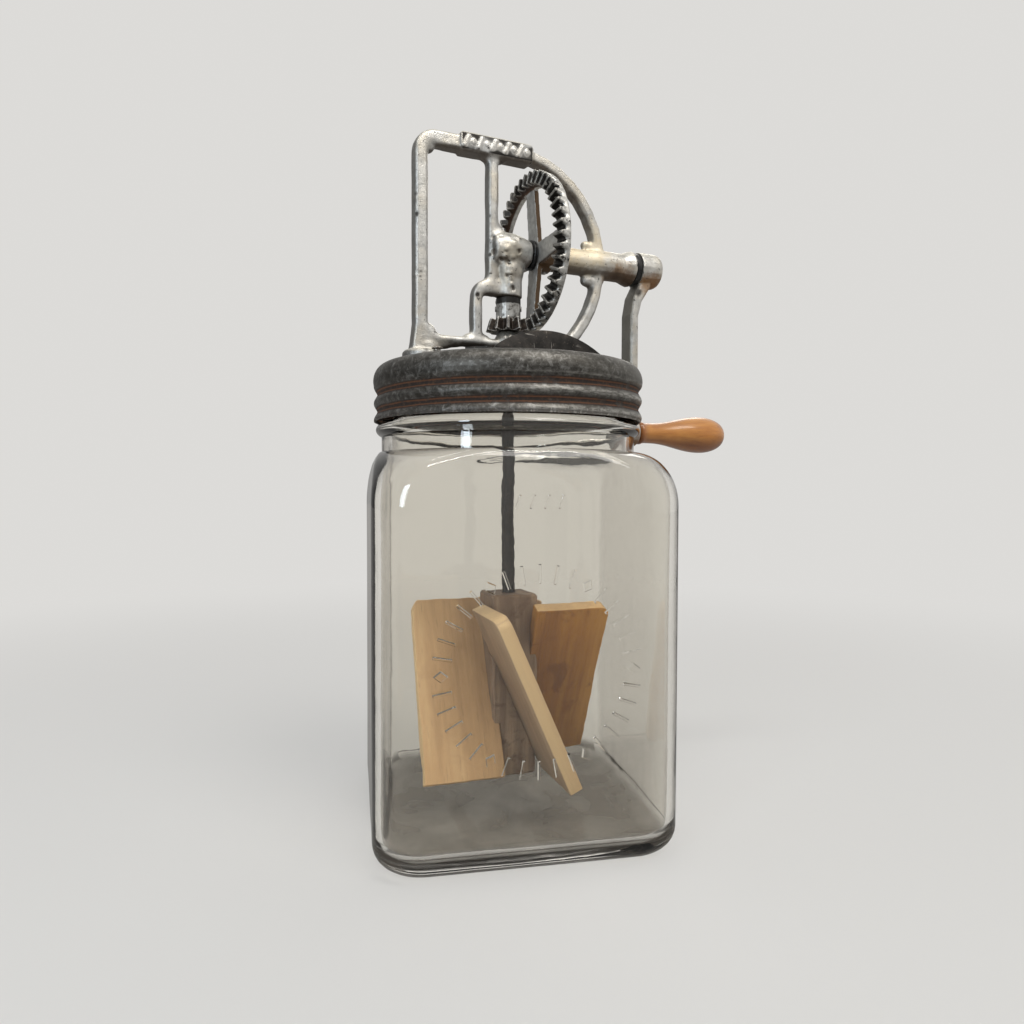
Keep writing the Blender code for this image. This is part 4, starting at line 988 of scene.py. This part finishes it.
# Where the cap is worn or rusty: heights and distances from its axis, in m
capLook = {
    "groove": (0.06325, 0.06275), "threadIn": (0.06232, 0.06245), "threadOut": (0.06275, 0.06260),
    "wall": (0.2100, 0.2080), "foot": (0.1915, 0.1896), "rustBelow": (0.2115, 0.2080),
    "wornBelow": (0.2085, 0.2040), "scratchedBelow": (0.1985, 0.1960),
}


def makeZincLook():
    look = capLook
    zinc = Finish("aged_zinc")
    x, y, z = zinc.split()
    speck = zinc.noise(620, 5, 0.7)
    crystals = zinc.noise(330, 6, 0.72, warp=0.7)
    broad = zinc.noise(40, 5, 0.6, warp=0.4)
    streaky = zinc.noise(260, 4, 0.6, at=zinc.stretched((1, 1, 4.5)))
    upright = zinc.noise(900, 3, 0.6, at=zinc.stretched((1, 1, 0.14)))
    base = zinc.ramp(crystals, (0.36, (0.040, 0.037, 0.033)), (0.50, (0.090, 0.085, 0.077)),
                     (0.60, (0.185, 0.180, 0.170)), (0.72, (0.33, 0.325, 0.31)))
    smooth = (x * 0.8 - y * 0.5).between(0.030, 0.062) * broad.between(0.30, 0.55)
    calm = zinc.mix(smooth * 0.8, base, (0.120, 0.112, 0.096))
    dull = zinc.mix(broad.between(0.44, 0.66) * 0.6, calm, (0.075, 0.068, 0.058))
    side = (x * 0.55 - y * 0.85).between(0.020, 0.062)
    ridge = zinc.ridges().between(0.503, 0.530)
    low = z.between(*look["wornBelow"])
    scratched = streaky.between(0.40, 0.62).highest(upright.between(0.52, 0.60)
                                                    * z.between(*look["scratchedBelow"]))
    worn = ridge * (0.12 + side * low) * (0.25 + scratched)
    worn = (worn + ridge * speck.between(0.56, 0.66) * 0.45).lowest(1)
    bright = zinc.mix(worn, dull, (0.66, 0.64, 0.59))
    radius = (x * x + y * y).root()
    groove = radius.between(*look["groove"]) * z.between(*look["wall"])
    foot = z.between(*look["foot"])
    patchy = zinc.noise(150, 5, 0.65).between(0.30, 0.52)
    rust = (groove * (0.62 + patchy * 0.5)).lowest(1)
    rust = rust.highest(foot * streaky.between(0.40, 0.56) * 0.8) * z.between(*look["rustBelow"])
    brown = zinc.ramp(speck, (0.36, (0.012, 0.008, 0.006)), (0.52, (0.026, 0.015, 0.010)),
                      (0.70, (0.080, 0.040, 0.020)))
    thread = radius.between(*look["threadIn"]) * radius.between(*look["threadOut"])
    brown = zinc.mix(thread * patchy * 0.55, brown, (0.17, 0.062, 0.022))
    zinc.bump(crystals * 0.7 + streaky * 0.3 + rust * 0.6, 0.00022, 0.55)
    rough = (0.36 + crystals * 0.22 + rust * 0.35 - worn * 0.12).lowest(0.95)
    return zinc.done(zinc.mix(rust, bright, brown), rough, 0.92 - rust * 0.88)


# Aluminium paint over cast iron: painted shade on left-facing flanks, painted light on top faces,
# brown undersides, chips on edges, greasy stains, and warm patches that are painted highlights
def makePaintLook(name, stainsAndHighlights, sides, chips=1.0):
    paint = Finish(name)
    across, _, rise = paint.split(paint.normal())
    sand = paint.noise(1500, 3, 0.6)
    mottle = paint.noise(240, 5, 0.62)
    broad = paint.noise(60, 4, 0.55, warp=0.5)
    wander = (mottle - 0.5) * 0.9
    silver = paint.ramp(mottle, (0.30, (0.40, 0.395, 0.375)), (0.50, (0.56, 0.55, 0.525)),
                        (0.72, (0.70, 0.69, 0.66)))
    warm = paint.mix(broad.between(0.42, 0.72) * 0.5, silver, (0.56, 0.48, 0.35))
    # Painted light: faces that point up are mixed towards a pale cream
    colour = paint.mix((rise + wander).between(0.35, 0.90) * sides["litTopShare"], warm, sides["top"])
    hollow = paint.ridges().between(0.490, 0.450)
    gone = hollow * 0.5
    for place, reach, share, tone in stainsAndHighlights:
        away = paint.vector("DISTANCE", paint.place, Vector(place) * mm, "Value")
        spread = (away + wander * reach * mm).between(reach * mm, reach * 0.35 * mm) * share
        colour = paint.mix(spread, colour, tone)
        gone = gone.highest(spread * 0.55)
    # Painted shade: faces that point to the left are mixed towards dark grey
    shadedFlank = ((across + wander * 0.35).between(-0.50, -0.86)) * sides["shadedLeftShare"]
    colour = paint.mix(shadedFlank, colour, sides["left"])
    under = (rise + wander * 0.7).between(-0.20, -0.80) * sides["underShare"]
    colour = paint.mix(under, colour, sides["under"])
    colour = paint.mix((hollow * 0.85).lowest(1), colour, (0.065, 0.048, 0.033))
    if "recess" in sides:
        recess = padRecess(paint, sides["recess"])
        colour = paint.mix(recess * broad.between(0.38, 0.52), colour, chipTone)
        gone = gone.highest(recess * 0.8)
    edge = paint.ridges().between(0.512, 0.545)
    chipNoise = paint.noise(330, 6, 0.68)
    edgeChips = edge * chipNoise.between(0.545, 0.60)
    spots = chipNoise.between(0.640, 0.672) * 0.9
    pitNoise = paint.noise(750, 4, 0.6).between(0.66, 0.70) * 0.8
    bare = (spots.highest(edgeChips).highest(pitNoise) * chips).lowest(1)
    gone = gone.highest(bare).highest(under * 0.6)
    paint.bump(sand * 0.50 + mottle * 0.70 - bare * 0.40, 0.00038, 0.75)
    rough = (0.31 + mottle * 0.22 + gone * 0.28 + shadedFlank * 0.15).lowest(0.95)
    return paint.done(paint.mix(bare, colour, chipTone), rough, 0.88 - gone * 0.80)


# The dark ground between the raised bars of the pad, on both of its faces
def padRecess(paint, box):
    x, y, z = paint.split()
    (left, right), (near, far), (low, high) = box
    depth = y.highest(0 - y)
    soft = 0.0002
    return (x.between(left, left + soft) * x.between(right, right - soft)
            * depth.between(near, near + soft) * depth.between(far, far - soft)
            * z.between(low, low + soft) * z.between(high, high - soft))


# Tones by the way a face points: 'top' is painted light and 'left' painted shade; 'under' darkens
# faces that point down
frameSides = {
    "left": (0.150, 0.147, 0.140), "shadedLeftShare": 0.72, "under": (0.070, 0.048, 0.031),
    "underShare": 0.86, "top": (0.84, 0.80, 0.69), "litTopShare": 0.55,
    "recess": ((-0.0255, 0.0105), (0.0038, 0.00492), (0.3148, 0.3222)),
}
chipTone, rustTone = (0.020, 0.016, 0.012), (0.20, 0.085, 0.026)
frameStainsAndHighlights = [
    ((60, -2, 263.5), 12, 0.75, (0.30, 0.145, 0.048)),
    ((65, -3, 264.5), 6, 0.8, rustTone), ((58, -4, 265), 3.4, 0.9, (0.11, 0.038, 0.012)),
    # Painted highlights: warm cream patches on the top of the bearing tube and on the front of the
    # boss
    ((40, -3, 278), 18, 0.62, (0.88, 0.74, 0.50)),
    ((28, -2, 274), 11, 0.60, (0.86, 0.70, 0.46)),
    ((-2, -8.6, 270), 7, 0.35, (0.60, 0.50, 0.34)),
]
frameChips = (  # x, y, z and reach in mm, and how bare
    (-4, 0, 249.8, 4.6, 0.95), (3.5, 0, 249.8, 4.6, 0.95), (-45.4, -3, 254, 1.3, 1),
    (-45.2, -3, 256.4, 1, 1), (-47, -3, 282, 1.6, 1), (-46.6, -2.4, 291, 1.5, 1),
    (-11.6, -3, 286.7, 1.5, 1), (-11.2, -3, 268.3, 1.3, 1), (-17.3, -3, 249, 1.7, 1),
    (-44, -7.4, 219.4, 2.8, 1), (-39.6, -9.4, 219.6, 2.4, 1), (-35.6, -8.8, 220.2, 2.2, 1),
    (-49, -2.4, 287, 3.2, 0.9), (29, -2, 315, 1.7, 1), (42.6, -2, 304.5, 1.6, 1),
    (44.6, -2, 302, 1.3, 1), (36, -3.4, 281.4, 1.8, 1),
)
frameStainsAndHighlights += [((x, y, z), reach, share, chipTone) for x, y, z, reach, share in frameChips]
# The crank's tones: 'top' is painted light and 'left' painted shade
crankSides = {
    "left": (0.240, 0.228, 0.200), "shadedLeftShare": 0.86, "under": (0.19, 0.092, 0.030),
    "underShare": 0.85, "top": (0.82, 0.78, 0.66), "litTopShare": 0.6,
}
crankStains = [
    ((78, -5, 263.5), 8.5, 0.75, (0.30, 0.150, 0.050)),
    ((84.4, -2, 268), 5.5, 0.9, (0.040, 0.026, 0.016)),
    ((71, -5, 259), 3, 0.9, chipTone),
    ((70, 0, 186), 12, 0.5, (0.22, 0.11, 0.05)),
]


# Rings and faces of the bevel wheel: distances from its axle and along it, in m
wheelLook = {
    "axle": 0.2715, "rustOut": (0.0325, 0.0305), "rustIn": (0.0285, 0.0300),
    "spokes": (0.0306, 0.0300), "rimFace": (0.0112, 0.0120), "rimIn": (0.0300, 0.0306),
    "rimEdge": (0.0366, 0.0373), "rimBack": (0.0090, 0.0100),
}


def makeGearLook():
    look = wheelLook
    iron = Finish("wheel_iron")
    mottle = iron.noise(420, 5, 0.62)
    fine = iron.noise(1300, 3, 0.6)
    x, y, z = iron.split(iron.stretched(move=(0, 0, -look["axle"])))
    radius = (y * y + z * z).root()
    across = iron.split(iron.normal())[0]
    grease = iron.ramp(mottle, (0.32, (0.008, 0.007, 0.006)), (0.55, (0.022, 0.019, 0.016)),
                       (0.75, (0.075, 0.065, 0.055)))
    worn = iron.ridges().between(0.508, 0.550) * mottle.between(0.32, 0.50) * 0.85
    colour = iron.mix(worn, grease, (0.46, 0.44, 0.40))
    ring = radius.between(*look["rustOut"]) * radius.between(*look["rustIn"])
    rust = ring * mottle.between(0.28, 0.46)
    colour = iron.mix(rust * 0.9, colour, (0.085, 0.036, 0.015))
    inside = radius.between(*look["spokes"])
    silver = iron.ramp(mottle, (0.30, (0.33, 0.32, 0.295)), (0.50, (0.52, 0.51, 0.48)),
                       (0.72, (0.68, 0.67, 0.64)))
    face = (across.highest(0 - across)).between(0.35, 0.65)
    flat = iron.mix(mottle.between(0.35, 0.65), (0.31, 0.300, 0.280), (0.44, 0.43, 0.405))
    spoke = iron.mix(face, (0.095, 0.056, 0.028), flat)
    colour = iron.mix(inside, colour, spoke)
    rim = x.between(*look["rimFace"]) * radius.between(*look["rimIn"])
    rim = rim.highest(radius.between(*look["rimEdge"]) * x.between(*look["rimBack"]))
    chipped = iron.noise(260, 6, 0.66).between(0.57, 0.62)
    pale = rim * (1 - chipped)
    iron.bump(fine * 0.4 + mottle * 0.6, 0.00025, 0.6)
    rough = (0.28 + fine * 0.2 + mottle * 0.12 + rust * 0.3).lowest(0.9)
    return iron.done(iron.mix(pale, colour, silver), rough,
                     0.55 + worn.highest(pale) * 0.35 - rust * 0.45)


def makePinionLook():
    iron = Finish("pinion_iron")
    z = iron.split()[2]
    mottle = iron.noise(500, 5, 0.62)
    fine = iron.noise(1400, 3, 0.6)
    wander = (mottle - 0.5) * 0.004
    dark = iron.ramp(mottle, (0.32, (0.012, 0.009, 0.007)), (0.55, (0.040, 0.029, 0.021)),
                     (0.75, (0.12, 0.092, 0.070)))
    worn = iron.ridges().between(0.506, 0.550) * mottle.between(0.32, 0.50)
    colour = iron.mix(worn, dark, (0.62, 0.60, 0.56))
    neck = (z + wander).between(0.2392, 0.2402) * (z + wander).between(0.2468, 0.2462)
    silver = iron.ramp(mottle, (0.34, (0.13, 0.12, 0.11)), (0.46, (0.42, 0.41, 0.385)),
                       (0.66, (0.62, 0.61, 0.585)))
    colour = iron.mix(neck, colour, silver)
    black = (z + wander * 0.5).between(0.2460, 0.2466)
    iron.bump(fine * 0.4 + mottle * 0.6, 0.00022, 0.6)
    rough = (0.32 + fine * 0.2 + mottle * 0.1).lowest(0.9)
    return iron.done(iron.mix(black, colour, (0.012, 0.010, 0.008)), rough,
                     0.6 + worn.highest(neck) * 0.3 - black * 0.4)


def makeRustyRodLook():
    rod = Finish("rusted_rod")
    clots = rod.noise(520, 6, 0.68)
    fine = rod.noise(1600, 4, 0.6)
    colour = rod.ramp(clots, (0.32, (0.007, 0.006, 0.0055)), (0.54, (0.017, 0.013, 0.011)),
                      (0.68, (0.040, 0.026, 0.018)), (0.82, (0.10, 0.062, 0.040)))
    rod.bump(clots * 0.8 + fine * 0.3, 0.0004, 0.8)
    return rod.done(colour, 0.62 + clots * 0.3)


def makeBareSteelLook(name, tone, rustShare):
    steel = Finish(name)
    drag = steel.noise(600, 4, 0.6, at=steel.stretched((1, 4, 4)))
    spots = steel.noise(480, 5, 0.65).between(0.62 - rustShare, 0.70 - rustShare)
    bare = steel.ramp(drag, (0.3, tuple(t * 0.55 for t in tone)), (0.7, tone))
    steel.bump(drag + spots * 0.5, 0.0001, 0.5)
    return steel.done(steel.mix(spots, bare, (0.070, 0.034, 0.018)),
                      0.28 + drag * 0.2 + spots * 0.35, 0.95 - spots * 0.8)


def makeWasherLook():
    black = Finish("greased_black", Metallic=0.2)
    smear = black.noise(380, 4, 0.6)
    colour = black.ramp(smear, (0.35, (0.006, 0.006, 0.006)), (0.65, (0.022, 0.021, 0.020)),
                        (0.85, (0.075, 0.070, 0.062)))
    black.bump(smear, 0.0002, 0.4)
    return black.done(colour, 0.16 + smear * 0.32)


def makeShutterLook():
    plate = Finish("blued_sheet")
    blotch = plate.noise(160, 5, 0.65)
    fine = plate.noise(900, 4, 0.6)
    scratch = plate.noise(900, 3, 0.5, at=plate.stretched((0.09, 1, 1), turn=(0, 0.5, 0.5)))
    crossed = plate.noise(1000, 3, 0.5, at=plate.stretched((1, 1, 0.10), turn=(0, -0.35, 0)))
    colour = plate.ramp(blotch, (0.34, (0.012, 0.011, 0.010)), (0.56, (0.034, 0.030, 0.027)),
                        (0.74, (0.085, 0.070, 0.056)))
    lines = scratch.between(0.66, 0.70).highest(crossed.between(0.68, 0.72))
    edge = plate.ridges().between(0.54, 0.62)
    pale = (lines * 0.55).highest(edge * fine.between(0.40, 0.55) * 0.8)
    colour = plate.mix(pale, colour, (0.33, 0.31, 0.28))
    dusty = fine.between(0.62, 0.70) * 0.45
    plate.bump(fine * 0.5 + blotch * 0.4 - lines * 0.5, 0.00018, 0.5)
    return plate.done(plate.mix(dusty, colour, (0.15, 0.115, 0.085)),
                      0.34 + blotch * 0.25, 0.75 - dusty * 0.5)


def makeRubberLook():
    rubber = Finish("aged_rubber")
    grain = rubber.noise(500, 4, 0.6)
    colour = rubber.ramp(grain, (0.3, (0.20, 0.050, 0.035)), (0.7, (0.34, 0.10, 0.07)))
    rubber.bump(grain, 0.0002, 0.4)
    return rubber.done(colour, 0.62 + grain * 0.25)


def makeVarnishLook():
    wood = Finish("varnished_grip", Coat_Roughness=0.14)
    x, _, z = wood.split()
    rings = wood.noise(210, 4, 0.6, at=wood.stretched((0.10, 1, 1)), warp=0.25)
    pores = wood.noise(900, 4, 0.6, at=wood.stretched((0.12, 1, 1)))
    blotch = wood.noise(70, 4, 0.6)
    colour = wood.ramp(rings, (0.30, (0.32, 0.105, 0.014)), (0.50, (0.53, 0.205, 0.030)),
                       (0.72, (0.66, 0.29, 0.055)))
    colour = wood.mix(pores.between(0.62, 0.72) * 0.5, colour, (0.17, 0.045, 0.008))
    tip = x.between(0.118, 0.129) * blotch.between(0.3, 0.6)
    root = x.between(0.080, 0.0735)
    colour = wood.mix((tip * 0.55).highest(root * 0.7), colour, (0.21, 0.055, 0.010))
    colour = wood.mix(blotch.between(0.50, 0.75) * 0.45, colour, (0.33, 0.090, 0.012))
    # Painted shade: the grip turns darker brown on its lower half
    low = (z + (blotch - 0.5) * 0.006).between(0.1885, 0.1810)
    wood.set("Coat Weight", 0.75 - pores.between(0.66, 0.74) * 0.5)
    wood.bump(rings * 0.3 + pores * 0.5, 0.00014, 0.4)
    return wood.done(wood.mix(low * 0.72, colour, (0.105, 0.024, 0.005)), 0.34 + blotch * 0.16)


# Maple boards: the grain runs up each board, so the place is turned into the board's own frame
def makeMapleLook(name, turn, tones, stain, stainTone, litEdgeShare=0.9):
    wood = Finish(name)
    flat = turn.to_3x3().inverted()
    lift = flat @ Vector((0, 0, -paddleMiddle()))
    inBoard = wood.stretched(turn=flat.to_euler("XYZ"), move=lift)

    def scaled(size):
        return wood.vector("MULTIPLY", inBoard, size)

    broad = wood.noise(34, 3, 0.5, at=scaled((1.0, 1.0, 0.22)), warp=0.5)
    grain = wood.noise(300, 5, 0.62, at=scaled((1.0, 1.0, 0.045)), warp=0.2)
    flecks = wood.noise(1100, 3, 0.6, at=scaled((1.0, 1.0, 0.11)))
    patch = wood.noise(58, 5, 0.66, at=inBoard, warp=0.8)
    spots = wood.noise(190, 5, 0.7, at=inBoard)
    dark, middle, light = tones
    colour = wood.ramp(broad * 0.55 + grain * 0.30 + patch * 0.15,
                       (0.38, dark), (0.51, middle), (0.64, light))
    colour = wood.mix(flecks.between(0.60, 0.70) * 0.35, colour, tuple(t * 0.55 for t in dark))
    colour = wood.mix(patch.between(0.50, 0.66) * stain, colour, stainTone)
    colour = wood.mix(spots.between(0.69, 0.74) * 0.6, colour, tuple(t * 0.35 for t in stainTone))
    outward, upward = turn.to_3x3() @ Vector((1, 0, 0)), turn.to_3x3() @ Vector((0, 0, 1))
    normal = wood.normal()
    ends = [wood.vector("DOT_PRODUCT", normal, way, "Value") for way in (outward, upward)]
    # Painted light: a board's outer end and top faces are mixed towards a pale tan
    edge = ends[0].highest(ends[1]).between(0.55, 0.85) * (0.45 + grain * 0.5)
    wood.bump(grain * 0.7 + flecks * 0.4, 0.00022, 0.5)
    return wood.done(wood.mix(edge * litEdgeShare, colour, (0.77, 0.54, 0.28)), 0.50 + grain * 0.25)


boardTones = ((0.33, 0.20, 0.10), (0.49, 0.32, 0.175), (0.62, 0.44, 0.26))
# Each board has its own tones: the front board's grey-brown is painted shade and the left board's
# light tan is painted light
boardLooks = [
    ("board_orange", ((0.24, 0.090, 0.011), (0.37, 0.155, 0.019), (0.50, 0.240, 0.040)),
     0.75, (0.19, 0.068, 0.010)),
    ("board_back", boardTones, 0.35, (0.22, 0.12, 0.055)),
    ("board_lit_tan", ((0.39, 0.225, 0.098), (0.56, 0.345, 0.163), (0.68, 0.455, 0.235)),
     0.30, (0.36, 0.20, 0.085)),
    ("board_shaded_grey", ((0.22, 0.137, 0.078), (0.32, 0.21, 0.122), (0.43, 0.30, 0.185)),
     0.40, (0.22, 0.130, 0.068)),
]


# Pieces in place

print("making the jar")
jar = makeJar()
addMarks(jar)
smoothTo(jar, 30)
fit(jar, "jar", makeGlassLook(), "jar_glass", "jar")

print("making the cap and its shutter")
fit(makeCap(), "lid", makeZincLook(), "cap_steel", "lid_cap")
fit(makeShutter(), "shutter", makeShutterLook(), "shutter_steel", "vent_shutter")

print("making the castings")
fit(makeFrame(), "lid", makePaintLook("frame_paint", frameStainsAndHighlights, frameSides),
    "frame_casting", "frame")
fit(makeCast("crank_arm"), "crank", makePaintLook("crank_paint", crankStains, crankSides, 0.9),
    "crank_casting", "crank_arm")
fit(makeCast("drive_gear"), "crank", makeGearLook(), "gear_iron", "drive_gear")
fit(makeCast("pinion"), "dasher", makePinionLook(), "gear_iron", "pinion")

print("turning the round pieces")
steelLooks = {
    "bright_steel": makeBareSteelLook("pin_steel", (0.50, 0.48, 0.45), 0.02),
    "rivet_steel": makeBareSteelLook("rivet_steel", (0.40, 0.37, 0.33), 0.06),
    "washer_black": makeWasherLook(),
    "seal_rubber": makeRubberLook(),
}
for name in turnedParts:
    node, body, slot = turnedParts[name][:3]
    fit(makeTurned(name), body, steelLooks[slot], slot, node)
fit(makeShaft(), "dasher", makeRustyRodLook(), "dark_steel", "dasher_shaft")
fit(makeGrip(), "grip", makeVarnishLook(), "grip_wood", "grip")

print("cutting the dasher")
board = makePaddle()
for number, (name, tones, stain, stainTone) in enumerate(boardLooks):
    look = makeMapleLook(name, paddleTurn(number), tones, stain, stainTone)
    fit(placePaddle(board, number), "dasher", look, "dasher_wood", "paddle_%d" % (number + 1))
bpy.data.objects.remove(board, do_unlink=True)
hubTurn = Matrix.Rotation(math.radians(dasherWood["first"]), 4, "Z")
hubLook = makeMapleLook("hub_block", hubTurn, ((0.11, 0.064, 0.036), (0.20, 0.125, 0.074),
                                               (0.42, 0.30, 0.19)), 0.8, (0.065, 0.026, 0.012), 0)
fit(makeHub(), "dasher", hubLook, "dasher_wood", "dasher_hub")


# Floor, backdrop colour and lamps
studio = {
    "pale": (0.72, 0.71, 0.69), "table": (0.10, 0.09, 0.08), "air": (0.97, 0.985, 1.0),
    "floorSize": 14.0, "floorDrop": 0.05 * mm, "ambient": 0.42, "aim": (0, 0, 0.17),
    "dimShare": 0.16, "brightSide": (0.47, -0.14, 0.87), "dimFrom": -0.55, "dimTo": 0.75,
    "lamps": {
        "key": ((0.25, -0.75, 1.15), (0.50, 0.50), 4.6, (1.0, 0.97, 0.92)),
        "ceiling": ((-0.10, -0.30, 1.10), (0.70, 0.05), 2.6, (1.0, 0.98, 0.94)),
        "window": ((-0.95, -0.55, 0.45), (0.16, 0.60), 3.6, (0.78, 0.89, 1.0)),
        "back": ((0.65, 0.75, 0.85), (0.40, 0.40), 1.4, (1.0, 0.96, 0.90)),
    },
}


def makeFloor():
    deselectAll()
    bpy.ops.mesh.primitive_grid_add(x_subdivisions=8, y_subdivisions=8, size=studio["floorSize"])
    floor = bpy.context.object
    floor.name = "studio_floor"
    floor.data.transform(Matrix.Translation((0, 0, -studio["floorDrop"])))
    look = Finish("floor_paper", Roughness=0.85)
    look.set("Base Color", studio["pale"])
    away = look.vector("LENGTH", look.place, out="Value")
    glow = look.node("Emission", None, {"Color": studio["pale"]})
    paper = look.blend(away.between(0.12, 0.95) * 0.62 + 0.38, look.skin, glow)
    # What metal mirrors of the table is dimmer than what the camera sees, also through the glass
    mirrored = (look.ray("Glossy") - look.ray("Transmission")).highest(0)
    table = look.node("Emission", None, {"Color": studio["table"]})
    look.end("Material Output", look.blend(mirrored * 0.6, paper, table))
    floor.data.materials.append(look.material)


def makeWorld():
    world = bpy.data.worlds.new("studio_air")
    bpy.context.scene.world = world
    world.use_nodes = True
    air = Nodes(world.node_tree)
    pale = studio["pale"]
    soft = air.node("Background", None, {"Color": studio["air"], "Strength": studio["ambient"]})
    sky = air.node("Background", None, {"Color": pale})
    # Metal sees the same pale room, dimmer on the side away from the lamps
    way = air.node("TexCoord", out="Generated")
    bright = air.vector("DOT_PRODUCT", way, studio["brightSide"], "Value")
    dim = bright.between(studio["dimFrom"], studio["dimTo"], studio["dimShare"])
    room = air.node("Background", None, {"Color": pale, "Strength": dim})
    plain = air.blend(air.ray("Camera").highest(air.ray("Transmission")), soft, sky)
    # A ray that came through the glass counts as glossy too, and sees the plain backdrop
    mirrored = (air.ray("Glossy") - air.ray("Transmission")).highest(0)
    air.end("World Output", air.blend(mirrored, plain, room))


def addLamps():
    for name, (place, size, power, colour) in studio["lamps"].items():
        deselectAll()
        bpy.ops.object.light_add(type="AREA", location=place)
        lamp = bpy.context.object
        lamp.name = "lamp_" + name
        lamp.data.shape = "RECTANGLE"
        lamp.data.size, lamp.data.size_y = size
        lamp.data.energy = power
        lamp.data.color = colour
        aim = Vector(studio["aim"]) - Vector(place)
        lamp.rotation_euler = aim.to_track_quat("-Z", "Y").to_euler()


# Camera at the photograph's place: picture height and lens from the fitted view
view = {"lens": 27.11, "turn": 24.63, "pitch": 1.826, "roll": 0.182,
        "place": (-0.15406, -0.34112, 0.15872)}


def addCamera():
    turn = math.radians(view["turn"])
    pitch, roll = math.radians(view["pitch"]), math.radians(view["roll"])
    across = Vector((math.cos(turn), -math.sin(turn), 0))
    into = Vector((math.sin(turn), math.cos(turn), 0))
    upward = Vector((0, 0, 1))
    ahead = into * math.cos(pitch) - upward * math.sin(pitch)
    up = upward * math.cos(pitch) + into * math.sin(pitch)
    right = across * math.cos(roll) + up * math.sin(roll)
    top = up * math.cos(roll) - across * math.sin(roll)
    deselectAll()
    bpy.ops.object.camera_add()
    camera = bpy.context.object
    camera.data.sensor_width = 36
    camera.data.lens = view["lens"]
    camera.data.clip_start = 0.01
    turned = Matrix((right, top, -ahead)).transposed().to_4x4()
    camera.matrix_world = Matrix.Translation(view["place"]) @ turned
    bpy.context.scene.camera = camera


print("setting the stage")
makeFloor()
makeWorld()
addLamps()
addCamera()
bpy.context.scene.view_settings.view_transform = "Standard"
